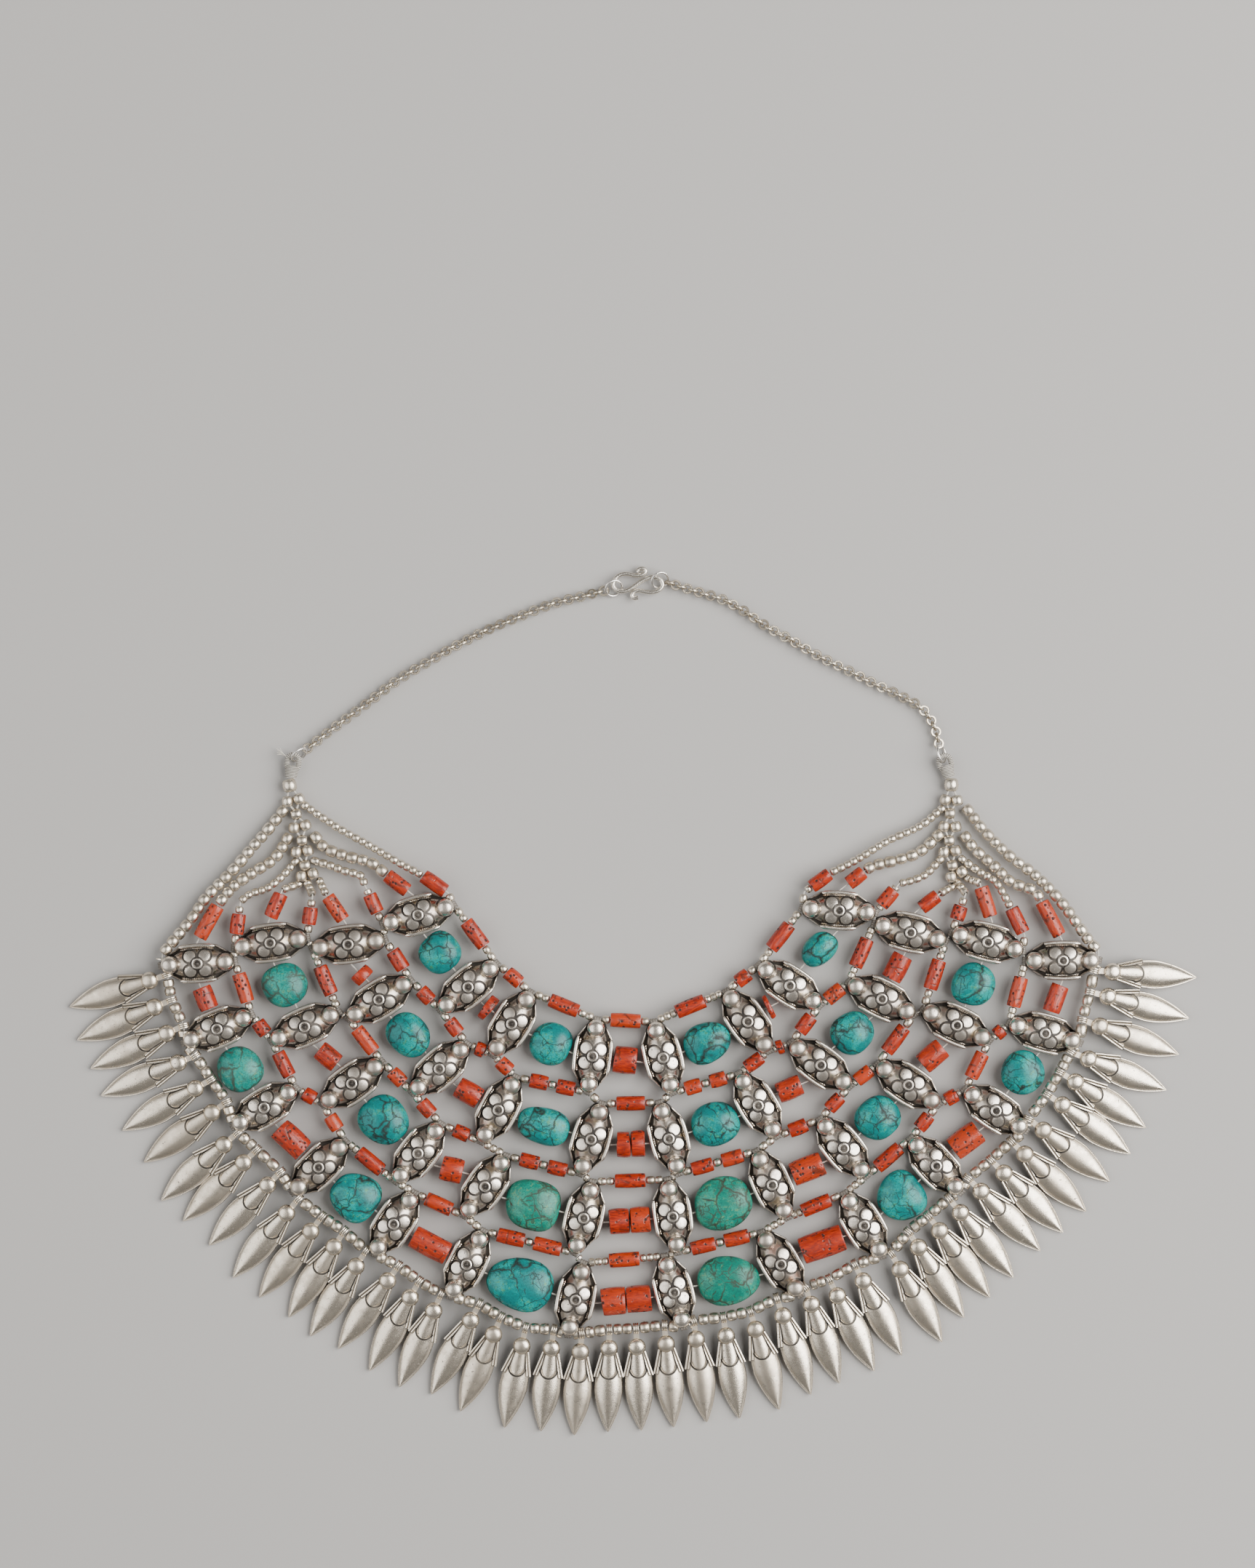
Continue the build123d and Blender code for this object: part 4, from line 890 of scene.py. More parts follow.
def pendantShape():
    p = pendant
    # leaf: half its width follows an arch that leans to the peak, with a straighter tip;
    # each cross-section is a pillow, (1 - |u| to the 2.1) to the 0.75, on a thin edge
    s = np.concatenate([[0.0, 0.02], np.linspace(0.06, 0.94, 16), [0.98, 1.0]])[:, None]
    x = p["leafStart"] + (p["leafTip"] - p["leafStart"]) * s
    early, late = s / p["leafPeak"], (s - p["leafPeak"]) / (1 - p["leafPeak"])
    tip = 0.72 * (1 - late**2) + 0.28 * np.maximum(1 - late, 0)
    half = np.maximum(p["leafWidth"] * np.where(early < 1, 1 - (1 - early) ** 2 * 0.5, tip), 0.03)
    u = np.cos(np.linspace(0, np.pi, 17))
    crown = p["rise"] * (0.35 + 0.65 * half / p["leafWidth"]) - 0.35 * s
    top = (crown + p["leafEdge"]) * (1 - np.abs(u) ** 2.1) ** 0.75 - p["leafEdge"]
    under = np.tile([-0.75, -p["back"], -p["back"], -0.75], (len(s), 1))
    rings = gridOf(x, half * np.append(u, [-1, -0.8, 0.8, 1]), np.concatenate([top, under], 1))
    across = np.tile(np.append(np.abs(u), [1, 1, 1, 1]), len(s))
    # painted shade near the leaf's edge
    rimDark = np.clip((across - 0.86) / 0.08, 0, 1) * np.clip((1.02 - across) / 0.04, 0, 1)
    made = [skinned(rings, groove=np.append(rimDark * 0.5, [0, 0]))]
    # rim wire round the leaf's edge
    sides = [gridOf(x, hand * half, p["rimHeight"])[:, 0] for hand in (1, -1)]
    made.append(carried(np.concatenate([sides[0][1:], sides[1][::-1][1:-1]]), circle(p["rimRadius"], 6)))
    # shield: a raised panel with a round crown, widening to a half-round end
    start, end, bulge = p["shieldStart"], p["shieldEnd"], p["shieldHalf"]
    x = (start + (end - start) * np.sin(np.linspace(0, 1, 12) * np.pi / 2))[:, None]
    wide = 1.15 + 0.95 * np.clip((x - p["domeReach"]) / 6.0, 0, 1)
    reach = np.sqrt(np.clip(1 - np.clip((x - end + bulge) / bulge, 0, 1) ** 2, 0, 1))
    half = np.maximum(wide * reach, 0.03)
    v = np.cos(np.linspace(0, np.pi, 11))
    top = p["shieldHeight"] + p["shieldCrown"] * (1 - (v * half / 2.4) ** 2)
    top += 0.06 * (x - p["domeReach"]) / 7 - 0.22 * np.abs(v) ** 6
    z = np.concatenate([top, np.full((len(x), 2), -0.6)], 1)
    # painted shade on the shield's outer edges, underside and end
    rimDark = np.append(np.tile(np.append(np.abs(v) ** 14, [1, 1]), len(x)), [0, 1])
    rimDark[-15:-2] = 0.9
    made.append(skinned(gridOf(x, half * np.append(v, [-0.9, 0.9]), z), groove=rimDark * 0.8))
    # seam: a fine wire round the shield's end
    t, r = np.linspace(-np.pi / 2, np.pi / 2, 11), p["shieldHalf"] + 0.02
    seam = gridOf(end - r + r * np.cos(t), r * np.sin(t), p["seamHeight"] + 0.15 * np.cos(t))
    made.append(carried(seam, circle(p["seamRadius"], 5)))
    # two wires on each side, spreading from the dome, on a plate that is dark as painted shade between them
    lean = math.radians(p["wireAngle"])
    for hand in (-1, 1):
        way = np.array([math.cos(lean), hand * math.sin(lean), p["wireSlope"]])
        for y, height in p["wires"]:
            path = (p["wireX"], hand * y, height) + way * np.linspace(0, p["wireLength"], 5)[:, None]
            made.append(carried(path, circle(p["wireRadius"], 8)))
        first, far = (p["wireX"], hand * p["plateY"], p["plateHeight"]), np.linspace(0, p["plateLength"], 3)
        made.append(carried(first + way * far[:, None], p["plate"], groove=0.95))
    # dome, with painted shade at its foot, and the strap from the bail to it with a little painted shade
    wide = p["domeRadius"]
    under = [(-p["back"], 1.6), (0.1, 1.7), (0.35, wide * 0.92)]
    outline = domeOutline(p["domeFoot"], p["domeTop"], wide, under)
    dark = np.append(np.repeat([1.0, 1.0, 0.7] + [0.0] * 8, 22), [1, 0])
    made.append(upright(turned(outline, 22, groove=dark), [(p["domeReach"], 0, 0)]))
    made.append(carried(p["strapPath"], p["strap"], groove=0.2))
    return inMetres(made)


pendantSilver = pendantMaterial()
leafShape = pendantShape()
bail = ribbedTube(net["bailWidth"], net["bailDiameter"], pendant["bailHole"] * mm, pendant["bailRibs"], 18)
tilt = math.asin(pendant["fall"] / pendant["length"])
leftCount = 22      # pendants that hang left of the middle
for side, first, last in (("Left", 0, leftCount), ("Right", leftCount, len(pendantFrames))):
    origins, flat = (np.array(part) for part in zip(*pendantFrames[first:last]))
    axes, normals = flat * math.cos(tilt) - up * math.sin(tilt), flat * math.sin(tilt) + up * math.cos(tilt)
    tone = random.random(last - first)
    ways = [passing[(4, f"p{n + 1}")][1] for n in range(first, last)]
    leaves = copies(leafShape, origins, axes, normals, tone=tone)
    bails = copies(bail, origins, ways, tone=tone)
    makePiece(f"pendants{side}", joined([leaves, bails]), pendantSilver,
              [f"pendants_{side.lower()}"], 42)

# Corals: lengths in mm; the waves, the bow and the facets are shares of the radius. A layer of
# colour has its rows of masks and the colour that they let through
coralBead = {
    "bevel": 0.3, "hole": 0.55, "bow": 0.05, "facets": (4, 8), "facet": 0.035, "twoWave": 0.02,
    "threeWave": 0.015, "longWave": 0.018, "skew": 0.05,
    "stretch": (0.35, 1.6, 1.6), "grain": (1.7, 4.0, 0.6, 0.3), "cloud": (330.0, 4.0, 0.6),
    "pits": 720.0, "pitted": (260.0, 2.0), "cracks": 150.0, "ground": (0.2, 0.01, 0.003),
    "layers": {
        "red": ([("grain", 0.35, 0.65)], (0.46, 0.034, 0.006)),
        "stain": ([("cloud", 0.5, 0.75, 0.65)], (0.17, 0.014, 0.006)),
        "orange": ([("tone", 0.45, 1.0, 0.5)], (0.52, 0.055, 0.01)),
        "crack": ([("fromCrack", 0.06, 0.01, 0.85), ("cloud", 0.48, 0.56)], (0.1, 0.018, 0.008)),
        "pit": ([("fromPit", 0.36, 0.2), ("pitted", 0.43, 0.5)], (0.03, 0.006, 0.004)),
    },
}


def coralMaterial():
    # red with a grain along the bead, brown stains, cracks along the edges of large cells and
    # pits in the middles of small ones
    c = coralBead
    material, tree, shader = newMaterial("coral")
    spot = objectSpot(tree)
    stretched = {"Vector": marked(tree, "local", "Vector"), "Scale": c["stretch"]}
    grain = noise(wire(tree, "ShaderNodeMapping", stretched).outputs[0], *c["grain"])
    fields = {"grain": grain, "tone": marked(tree, "tone"), "cloud": noise(spot, *c["cloud"]),
              "fromPit": cells(spot, c["pits"], "F1"), "pitted": noise(spot, *c["pitted"]),
              "fromCrack": cells(spot, c["cracks"], "DISTANCE_TO_EDGE")}
    colour, masks = layered(fields, c["ground"], c["layers"])
    rough = most(between(grain, 0.3, 0.7, 0.36, 0.22), times(masks["pit"], 0.8))
    height = scaled(masks["pit"], -1.5, scaled(masks["crack"], -0.6, grain))
    finish(shader, colour, rough, height, {"Specular IOR Level": 0.55}, strength=0.55, depth=0.14)
    return material


def coralShapes(stones, sides, rounds, seed):
    # faceted drums with a bore: radius = r (swell of the length) (facets + waves of the angle)
    # + a wave of the length, and skewed ends
    c, rng, t, made = coralBead, np.random.default_rng(seed), roundAngles(sides), []
    for middle, ahead, length, wide, tall in stones:
        bevel = min(c["bevel"] * mm, length / 8)
        inner = np.linspace(-length / 2 + bevel, length / 2 - bevel, rounds)
        x = np.concatenate([[-length / 2] * 2, inner, [length / 2] * 2])[:, None]
        hole = c["hole"] * mm / max(wide, 1e-6)
        swell = np.concatenate([[hole, 0.9], 1 - c["bow"] * (inner / length * 2) ** 2, [0.9, hole]])[:, None]
        facets, phase = rng.integers(*c["facets"]), rng.random(5) * 2 * np.pi
        facetShare = 1 - c["facet"] * (1 - np.abs(np.cos(facets * (t + phase[0]) / 2)))
        wave = c["twoWave"] * np.sin(2 * t + phase[1]) + c["threeWave"] * np.sin(3 * t + phase[2])
        longWave = c["longWave"] * np.sin(x / length * 5 + phase[3] + t)
        radius = np.minimum(swell * (facetShare + wave - 0.02) + longWave * (swell > 0.5), 1.0)
        skew = rng.normal(0, c["skew"], 2)
        lean = np.sign(x) * (np.abs(x) > length * 0.45) * wide * (skew[0] * np.cos(t) + skew[1] * np.sin(t))
        x = np.clip(x + lean * swell, -length / 2, length / 2)
        body = skinned(gridOf(x, radius * wide * np.cos(t), radius * tall * np.sin(t)), closed=True)
        body["marks"]["local"] = body["points"] / mm + rng.random(3) * 50
        made.append(copies(body, [middle], [ahead], tone=[rng.random()]))
    return joined(made)


coral = coralMaterial()
for name, node, groups, fineness in (("strandCorals", "strand_corals", strandCorals, (18, 7, 20)),
                                     ("rowCorals", "row_corals", rowCorals, (24, 9, 30))):
    sides, rounds, seed = fineness
    for number, stones in enumerate(groups):
        makePiece(f"{name}{number + 1}", coralShapes(stones, sides, rounds, seed + number), coral,
                  [f"{node}_{number + 1}"], 30)

# Turquoise: powers below one make a pebble blunter; a kind has the colours of its ground, clouds,
# fine speckles and veins, then the share of its veins and of its dark blots
turquoise = {
    "blunt": (0.72, 0.95), "squareness": (0.86, 1.0), "skew": 0.06,
    "noises": {"cloud": (190.0, 5.0, 0.6, 0.4), "fine": (1100.0, 3.0, 0.6), "where": (120.0, 2.0),
               "grit": (2300.0, 3.0, 0.6), "blot": (160.0, 4.0, 0.65), "hair": (170.0, 2.0)},
    "bendScale": 260.0, "bendDetail": 3.0, "bendReach": 0.0042, "veinCells": 125.0, "hairCells": 380.0,
    "veinWidth": (0.4, 0.62, 0.02, 0.085), "grit": (0.004, 0.085, 0.075),
    "kindOf": {"turquoise_row_3_1": "pale", "turquoise_row_3_3": "green", "turquoise_row_3_4": "green",
               "turquoise_row_4_1": "pale", "turquoise_row_4_4": "green"},
    "blue": ((0.0, 0.165, 0.165), (0.0, 0.31, 0.29), (0.06, 0.27, 0.12), (0.012, 0.014, 0.012), 1.0, 0.15),
    "green": ((0.006, 0.17, 0.12), (0.014, 0.27, 0.19), (0.1, 0.26, 0.12), (0.035, 0.03, 0.02), 1.0, 0.6),
    "pale": ((0.004, 0.165, 0.14), (0.014, 0.28, 0.23), (0.09, 0.27, 0.15), (0.04, 0.036, 0.025), 0.9, 0.4),
}


def turquoiseMaterial(kind):
    # clouds and speckles of blue and green, with wide and hair-thin dark veins along the edges of
    # cells, whose coordinates are bent by a noise
    ground, deep, speckle, vein, veins, blots = turquoise[kind]
    look, (material, tree, shader) = turquoise, newMaterial(f"turquoise {kind}")
    spot = objectSpot(tree)
    bend = {"Vector": spot, "Scale": look["bendScale"], "Detail": look["bendDetail"]}
    warp = {0: wire(tree, "ShaderNodeTexNoise", bend).outputs["Color"], "Scale": look["bendReach"]}
    pull = wire(tree, "ShaderNodeVectorMath", warp, operation="SCALE").outputs[0]
    bent = wire(tree, "ShaderNodeVectorMath", {0: spot, 1: pull}, operation="ADD").outputs[0]
    fields = {name: noise(spot, *values) for name, values in look["noises"].items()}
    fields["fromHair"] = cells(bent, look["hairCells"], "DISTANCE_TO_EDGE")
    colour, masks = layered(fields, ground, {
        "cloud": ([("cloud", 0.4, 0.62)], deep),
        "speckle": ([("fine", 0.54, 0.64, 0.8), ("cloud", 0.4, 0.55)], speckle),
        "grit": ([("grit", 0.46, 0.62, 0.5)], look["grit"]),
        "blot": ([("blot", 0.6, 0.68, blots)], vein),
    })
    wide = between(fields["where"], *look["veinWidth"])
    line = between(cells(bent, look["veinCells"], "DISTANCE_TO_EDGE"), 0.0, wide, 1.0, 0.0, "LINEAR")
    line = most(times(line, masked(fields, [("where", 0.34, 0.44, veins)])),
                masked(fields, [("fromHair", 0.07, 0.01, 0.75), ("hair", 0.46, 0.56)]))
    dark = most(line, masks["blot"])
    rough, height = scaled(dark, 0.3, 0.29), scaled(dark, -0.8, fields["fine"])
    finish(shader, blended(line, colour, rgb(*vein)), rough, height, {"Specular IOR Level": 0.36},
           strength=0.25, depth=0.08)
    return material


def power(value, p):
    # a power that keeps the sign
    return np.sign(value) * np.abs(value) ** p


def pebble(length, wide, tall, rng):
    # a rounded block: each axis is the sine or cosine to a power below one, with slow waves
    v, t = np.linspace(-np.pi / 2, np.pi / 2, 25)[1:-1, None], roundAngles(36)
    share = np.cos(v) ** rng.uniform(*turquoise["blunt"])
    y = share * power(np.cos(t), rng.uniform(*turquoise["squareness"]))
    x, z = power(np.sin(v), 0.92), share * power(np.sin(t), 0.95)
    phase = rng.random(6) * 6.3
    spread = 0.96 + (0.02 * np.sin(2 * x + 2.5 * y + phase[0]) + 0.02 * np.sin(3 * y - 2 * z + phase[1])
                     + 0.015 * np.sin(4 * x - 3 * z + phase[2]))
    y = y * (1 + rng.normal(0, turquoise["skew"]) * x)
    half = np.array([length / 2, wide, tall])
    return skinned(np.clip(gridOf(x * spread, y * spread, z * spread) * half, -half, half))


stoneMaterials = {kind: turquoiseMaterial(kind) for kind in ("blue", "green", "pale")}
for number, (node, (middle, ahead, *size)) in enumerate(turquoises):
    stone = copies(pebble(*size, np.random.default_rng(60 + number)), [middle], [ahead])
    material = stoneMaterials[turquoise["kindOf"].get(node, "blue")]
    makePiece(f"turquoise{node[-3]}_{node[-1]}", stone, material, [node], 60)

# Seed beads and strings, lengths in metres; the bound thread's colours are dark, for painted shade between
# its turns, light, and glint, for painted highlights
strings = {
    "thread": ((0.16, 0.145, 0.125), (0.62, 0.59, 0.53), (0.85, 0.84, 0.8)),
    "threadDiameter": 0.45 * mm, "gap": 0.12 * mm, "shortest": 0.55 * mm, "fanStart": 1.9 * mm,
    "fanStep": 0.4 * mm, "fanShare": 0.9, "runShare": 0.86, "widths": (0.88, 1.12),
    "diameters": (0.96, 1.06), "fill": 0.97, "ringBelow": 0.72, "near": 0.2 * mm,
}


def threadMaterial():
    # fine turns across the length: a sine of the mark "along", whose lines waver with a noise; painted shade
    # between the turns and specks of painted highlight
    material, tree, shader = newMaterial("bound thread")
    spot, (dark, light, glint) = objectSpot(tree), (rgb(*colour) for colour in strings["thread"])
    turns = sums("SINE", scaled(noise(spot, 900.0, 3.0), 2.5, times(marked(tree, "along"), 2 * math.pi)))
    share, shine = between(turns, -1.0, 0.6), between(noise(spot, 5200.0, 2.0), 0.58, 0.68)
    # painted shade between the turns and painted highlight specks in the glint colour
    colour = blended(times(shine, share), blended(share, dark, light), glint)
    finish(shader, colour, scaled(shine, -0.3, 0.62), turns, {"Metallic": 0.15}, strength=0.6, depth=0.12)
    return material


def seedShape(hole, sides, flat):
    # a bead of size one round its hole: outer face bowed by flat, with a rounded shoulder each side, and
    # painted shade on its ends towards the hole
    shoulder = 0.45 + 0.035 * flat
    outline = [(-0.5, hole / 2), (-0.485, 0.33), (-0.34, shoulder), (0, 0.5), (0.34, shoulder),
               (0.485, 0.33), (0.5, hole / 2)]
    return turned(outline, sides, closed=True, groove=np.repeat([1.0, 0.3, 0, 0, 0, 0.3, 1.0], sides))


def strung(route, diameter, share):
    # beads side by side along a route: their middles, directions, lengths and diameters
    route = np.asarray(route, float)
    gone = distancesOn(route)
    count = max(1, int(round(gone[-1] / (diameter * share))))
    edges = np.concatenate([[0], np.cumsum(random.uniform(*strings["widths"], count))])
    edges = edges / edges[-1] * gone[-1]
    middle, near = (edges[1:] + edges[:-1]) / 2, strings["near"]
    ahead = unit(pointsAt(middle + near, gone, route) - pointsAt(middle - near, gone, route))
    across = diameter * random.uniform(*strings["diameters"], count)
    return pointsAt(middle, gone, route), ahead, np.diff(edges) * strings["fill"], across


def seedRow(parts):
    # every part's beads as one shape; those much shorter than wide are flat rings
    at, ahead, length, across = (np.concatenate(values) for values in zip(*parts))
    scales = np.stack([length, across, across], -1)
    ringed = length < across * strings["ringBelow"]
    return joined([copies(model, at[chosen], ahead[chosen], scales=scales[chosen],
                          tone=random.random(chosen.sum()))
                   for model, chosen in ((roundSeed, ~ringed), (ringSeed, ringed)) if chosen.any()])


def fanBeads(fans, diameter):
    # the beads of the left and the right fan of one string
    return [strung(smoothed(longer(fan, strings["fanStart"]), strings["fanStep"]), diameter,
                   strings["fanShare"]) for fan in fans]


def threadThrough(left, stops, right):
    # the string itself, from one column to the other
    route = np.concatenate([left[:-1], stops, right[::-1][1:]])
    return carried(route, circle(strings["threadDiameter"] / 2, 6), along=0.0)


seedSilver, boundThread = metalMaterial("seed", withPaintedShade=True)[0], threadMaterial()
roundSeed, ringSeed = seedShape(0.34, 12, 0.3), seedShape(0.42, 12, 1.0)
threads = []
for strand, line in enumerate(strands):
    diameter = net["largeSeed"] if strand == 4 else net["smallSeed"]
    parts = fanBeads((line["left"], line["right"]), diameter)
    for run, ahead in enumerate(line["ahead"]):
        start, gap = line["stops"][run], strings["gap"]
        far = np.linalg.norm(line["stops"][run + 1] - start)
        edges = [line["clear"][run, 0] + gap]
        for low, high in sorted(line["corals"][run]):
            edges += [low - gap, high + gap]
        edges.append(far - line["clear"][run, 1] - gap)
        for low, high in zip(edges[0::2], edges[1::2]):
            if high - low > strings["shortest"]:
                ends = [start + ahead * low, start + ahead * high]
                parts.append(strung(ends, diameter, strings["runShare"]))
    makePiece(f"edgeBeads{strand + 1}", seedRow(parts), seedSilver,
              [f"edge_string_{strand + 1}"], 50)
    threads.append(threadThrough(line["left"], line["stops"], line["right"]))
for row in range(4):
    left, right = (fanRoute(rowFans[side][row]) for side in ("left", "right"))
    parts = fanBeads((left, right), net["largeSeed"] if row in (0, 3) else net["smallSeed"])
    makePiece(f"rowBeads{row + 1}", seedRow(parts), seedSilver, [f"row_string_{row + 1}"], 50)
    threads.append(threadThrough(left, rowStations(row), right))
makePiece("threads", joined(threads), boundThread)

# Woven columns and their bound loops, lengths in metres
column = {
    "bead": 3.2 * mm, "topBead": 4.0 * mm, "beadHole": 0.3, "beadLength": 0.9, "pairGap": 0.03 * mm,
    "pairTurn": 0.25, "weaveThread": 0.28 * mm, "weaveStep": 0.5 * mm,
    "archRadius": 1.6 * mm, "loopThread": 0.72075 * mm, "loopStep": 0.1 * mm, "ridge": 0.05,
    "turn": 0.42 * mm, "wrapLength": 3.4 * mm, "wrapGap": 0.1 * mm, "wrapStart": 1.55 * mm,
    "wrapSwell": 0.5 * mm, "wrapTaper": 0.2 * mm, "wrapFlat": 0.82, "wrapRidge": 0.04,
    "legStart": 0.4 * mm, "pinch": 0.35, "hairs": 9, "hairLength": 2.6 * mm, "hairBend": 1.6 * mm,
    "hairSpread": 0.35, "hairRise": 0.5 * mm, "hairRadius": 0.09 * mm, "hairRoot": (0.8 * mm, 1.9 * mm),
}
columnBead = seedShape(column["beadHole"], 20, 0.0)
columnBead["points"][:, 0] *= column["beadLength"]


def boundCord(path, section, scale, turns):
    # a cord bound with thread: the mark "along" counts the turns of the thread
    along = np.append(np.repeat(turns, len(section)), [0, 0])
    return carried(path, section, scale=scale, along=along)


def boundLoop(foot, centre):
    # hairpin round its centre, two legs pinched to the foot, and the wrapping that holds them:
    # both are ribbed by a sine of the thread's turns
    c, way = column, unit(centre - foot)
    across = np.cross(up, way)
    wrapEnd = np.linalg.norm(foot - centre) - c["topBead"] / 2 - c["wrapGap"]
    legs, r = np.linspace(c["legStart"] - wrapEnd, 0, 12)[:-1], c["archRadius"]
    arc = np.linspace(-np.pi / 2, np.pi / 2, 25)
    far = np.concatenate([legs, r * np.cos(arc), legs[::-1]])[:, None]
    off = np.concatenate([legs * 0 - r, r * np.sin(arc), legs * 0 + r])[:, None]
    pinch = np.clip((far + wrapEnd) / c["wrapLength"], c["pinch"], 1)
    path = smoothed(centre + far * way + off * pinch * across, c["loopStep"])
    turns = np.arange(len(path)) * c["loopStep"] / c["turn"]
    loop = boundCord(path, circle(c["loopThread"], 14), 1 + c["ridge"] * np.sin(turns * 2 * np.pi), turns)
    share = np.linspace(0, 1, 36)
    path = centre + way * (share * c["wrapLength"] - wrapEnd)[:, None]
    turns = share * c["wrapLength"] / c["turn"]
    wide = c["wrapStart"] + c["wrapSwell"] * share - c["wrapTaper"] * share**4
    wide = wide * (1 + c["wrapRidge"] * np.sin(turns * 2 * np.pi))
    return [loop, boundCord(path, circle(1.0, 18) * (1.0, c["wrapFlat"]), wide, turns)]


def frayedEnds(foot, centre):
    # hairs beside the loop: out by a share of the length, bent by the square of it
    c, rng, hairs, way = column, np.random.default_rng(5), [], unit(centre - foot)
    root = centre + way * c["hairRoot"][0] + np.cross(up, way) * c["hairRoot"][1]
    outward, t = unit(root - centre), np.linspace(0, 1, 6)[:, None]
    for _ in range(c["hairs"]):
        bend = rng.normal(0, c["hairSpread"], 3) * (1, 1, 0)
        hair = root + outward * t * c["hairLength"] + bend * t**2 * c["hairBend"]
        hair[:, 2] += c["hairRise"] * t[:, 0] + rng.uniform(-0.3, 0.3) * mm
        hairs.append(carried(hair, circle(c["hairRadius"], 5), along=0.0))
    return hairs


for side in ("left", "right"):
    points = np.array([place(x, y, net["columnHeight"]) for x, y in columnRoutes[side]])
    steps = np.arange(len(points))
    ahead = unit(points[np.minimum(steps + 1, steps[-1])] - points[np.maximum(steps - 1, 0)])
    sideways = np.cross(up, ahead)
    beads = [(points[0], ahead[0], column["topBead"])]
    for point, way, across, step in zip(points[1:], ahead[1:], sideways[1:], steps[1:]):
        if step % 2 == 0:
            beads.append((point, across, column["bead"]))
            continue
        apart = column["bead"] / 2 + column["pairGap"]
        beads += [(point + across * hand * apart, way + across * column["pairTurn"] * hand, column["bead"])
                  for hand in (-1, 1)]
    spots, ways, sizes = zip(*beads)
    placed = copies(columnBead, spots, ways, scales=np.array(sizes)[:, None],
                    tone=random.random(len(sizes)))
    makePiece(f"column{side.title()}", placed, seedSilver, [f"bead_column_{side}"], 50)
    # threads that cross between the beads, then the loop
    reach = np.where(steps % 2 == 0, 0.0, column["bead"] / 2)[:, None]
    weave = [carried(smoothed(points + sideways * hand * reach, column["weaveStep"]),
                     circle(column["weaveThread"], 6), along=0.0) for hand in (-1, 1)]
    centre = place(*loopArches[side], net["columnHeight"])
    weave += boundLoop(points[0], centre)
    if side == "left":
        weave += frayedEnds(points[0], centre)
    makePiece(f"threadLoop{side.title()}", joined(weave), boundThread,
              [f"thread_loop_{side}"], 60)

# Chains, lengths in metres
chain = {"radius": 1.2 * mm, "wire": 0.35 * mm, "step": 1.68 * mm, "height": 1.57 * mm,
         "fromRing": 2.85 * mm, "routeStep": 0.1 * mm, "roll": 0.16}
chainSilver = metalMaterial("chain", withPaintedShade=True)[0]
ringSilver, hookSilver = metalMaterial("ring")[0], metalMaterial("hook")[0]
t = roundAngles(16)
link = carried(gridOf(chain["radius"] * np.cos(t), chain["radius"] * np.sin(t), 0.0),
               circle(chain["wire"], 6), closed=True)


def silvered(nodeName, material):
    # a solid of the frame, shown as it is in its own finish
    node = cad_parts[nodeName]
    node.data.materials.clear()
    node.data.materials.append(material)


for side in ("left", "right"):
    route = [place(x, y, chain["height"]) for x, y in chainRoutes[side]]
    ends = []
    for name, neighbour in ((f"loop_ring_{side}", route[0]), (f"hook_ring_{side}", route[-1])):
        level = np.array([*boxMiddle(solidsOf(name)[0][1])[:2], chain["height"]])
        ends.append(level + unit(neighbour - level) * chain["fromRing"])
    path = smoothed([ends[0], *route, ends[1]], chain["routeStep"])
    count = int(round(chain["routeStep"] * (len(path) - 1) / chain["step"])) + 1
    spots = pointsAt(np.linspace(0, len(path) - 1, count), np.arange(len(path)), path)
    ahead = unit(np.gradient(spots, axis=0))
    # every other link stands on its edge, each a little rolled
    rng = np.random.default_rng(8)
    roll = (np.arange(count) % 2 * np.pi / 2 + rng.normal(0, chain["roll"], count))[:, None]
    normals = up * np.cos(roll) + np.cross(up, ahead) * np.sin(roll)
    links = copies(link, spots, ahead, normals, tone=rng.random(count))
    links["points"][:, 2] -= min(0.0, links["points"][:, 2].min())
    makePiece(f"chain{side.title()}", links, chainSilver, [f"chain_{side}"], 60)
    silvered(f"loop_ring_{side}", ringSilver)
    silvered(f"hook_ring_{side}", ringSilver)
silvered("s_hook", hookSilver)

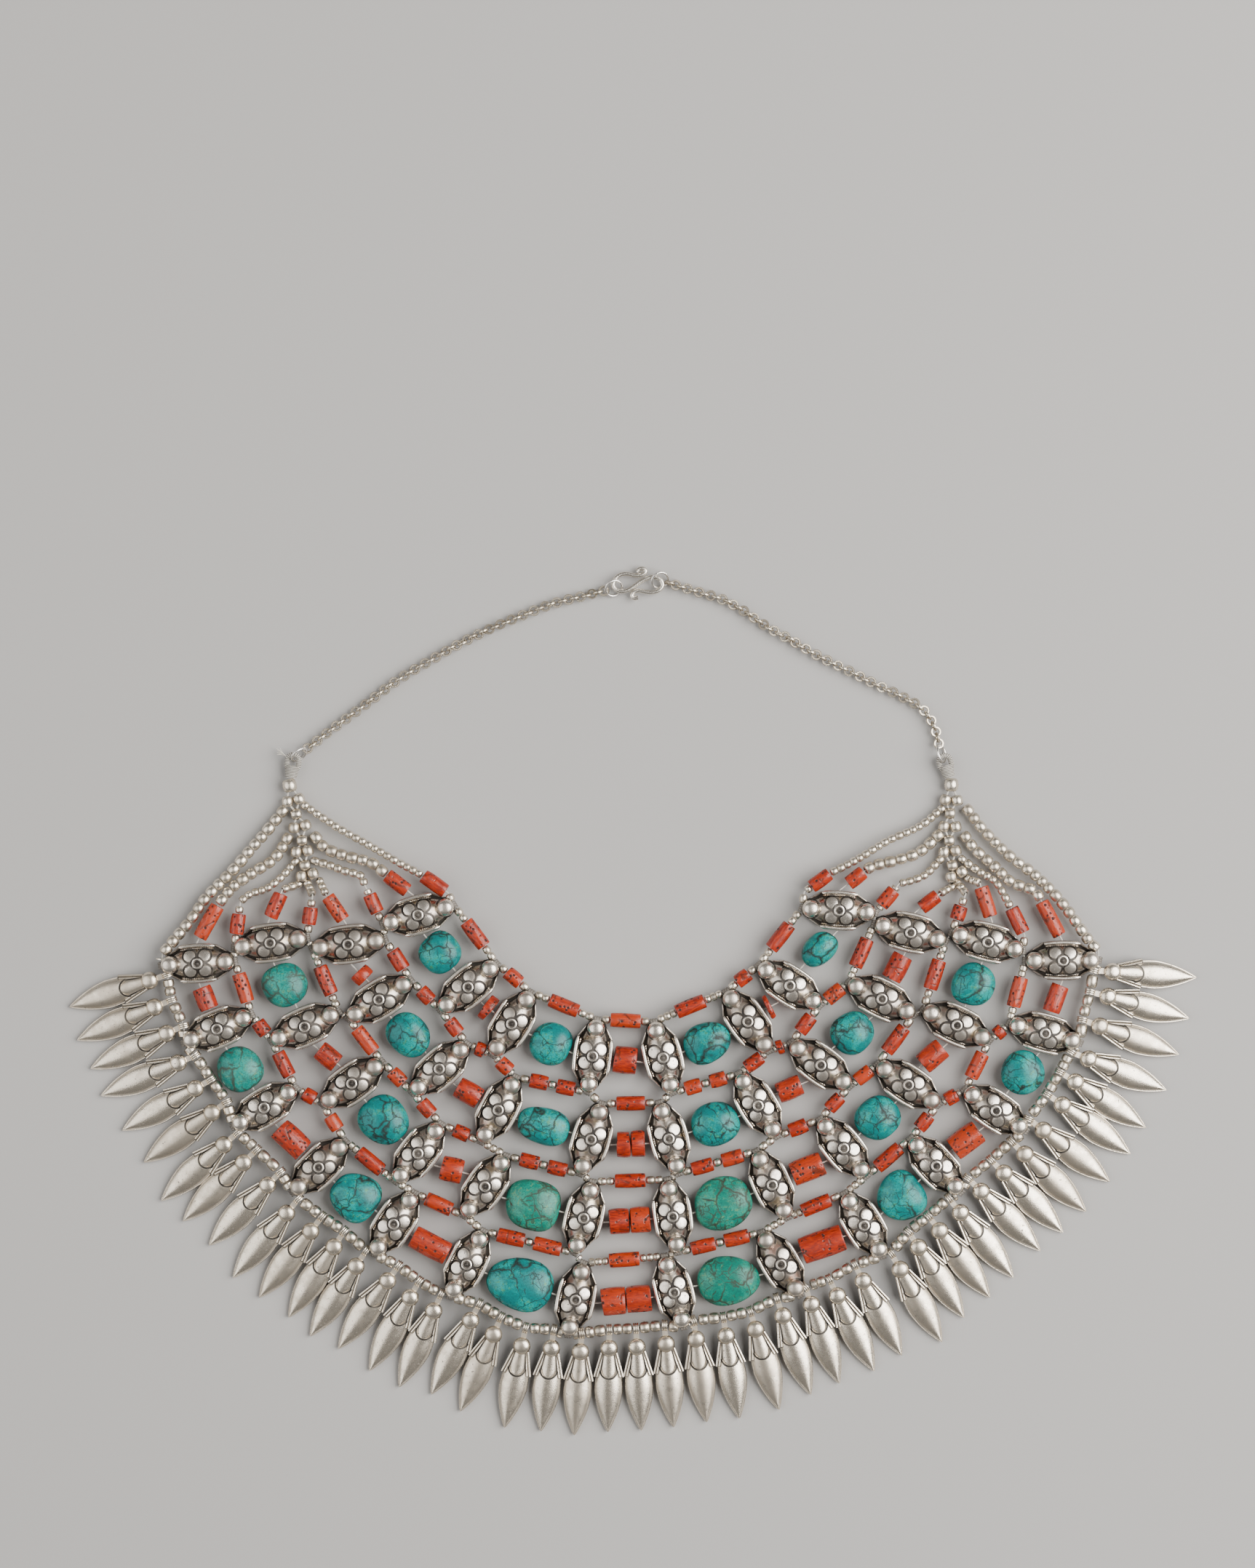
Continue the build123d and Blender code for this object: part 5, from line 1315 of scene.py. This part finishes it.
# Floor, light and camera, lengths in metres
stage = {
    "centre": (-0.00157, 0.05994), "height": 1.3, "frameHigh": 0.4312, "sensor": 36.0,
    "floor": (0.44, 0.43, 0.42), "floorHalf": 2, "floorZ": -0.0002, "floorRough": 0.85,
    "sky": (1.0, 0.98, 0.95), "skyStrength": 0.2,
}
lamps = [
    {"name": "key", "spot": (0.95, 0.12, 1.02), "size": 1.5, "power": 45.0, "tint": (1.0, 0.98, 0.95)},
    {"name": "fill", "spot": (-1.1, -0.05, 0.95), "size": 1.8, "power": 14.0, "tint": (1.0, 0.99, 0.97)},
]
floorMesh = bpy.data.meshes.new("floor")
half = stage["floorHalf"]
corners = [(x * half, y * half, stage["floorZ"]) for x, y in ((-1, -1), (1, -1), (1, 1), (-1, 1))]
floorMesh.from_pydata(corners, [], [(0, 1, 2, 3)])
floor = linked("floor", floorMesh)
floorMaterial, _, shader = newMaterial("pale floor")
feed(shader, {"Base Color": rgb(*stage["floor"]), "Roughness": stage["floorRough"]})
floorMesh.materials.append(floorMaterial)
floor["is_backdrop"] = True

world = bpy.data.worlds.new("studio")
bpy.context.scene.world = world
world.use_nodes = True
feed(world.node_tree.nodes["Background"], {"Color": rgb(*stage["sky"]), "Strength": stage["skyStrength"]})

for lamp in lamps:
    data = bpy.data.lights.new(lamp["name"], "AREA")
    data.shape = "DISK"
    data.size, data.energy, data.color = lamp["size"], lamp["power"], lamp["tint"]
    light = linked(lamp["name"], data)
    light.location = np.array(lamp["spot"]) + (*stage["centre"], 0)
    light.rotation_euler = Vector(-np.array(lamp["spot"])).to_track_quat("-Z", "Y").to_euler()

cameraData = bpy.data.cameras.new("camera")
camera = linked("camera", cameraData)
camera.location = (*stage["centre"], stage["height"])
cameraData.sensor_fit = "AUTO"
cameraData.sensor_width = stage["sensor"]
cameraData.lens = stage["sensor"] * (stage["height"] - net["threadHeight"]) / stage["frameHigh"]
cameraData.clip_start, cameraData.clip_end = 0.01, 20.0
bpy.context.scene.camera = camera
print("stage ready")

low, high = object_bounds()
{"cad": [list(cadLow), list(cadHigh)], "visual": [list(low), list(high)]}
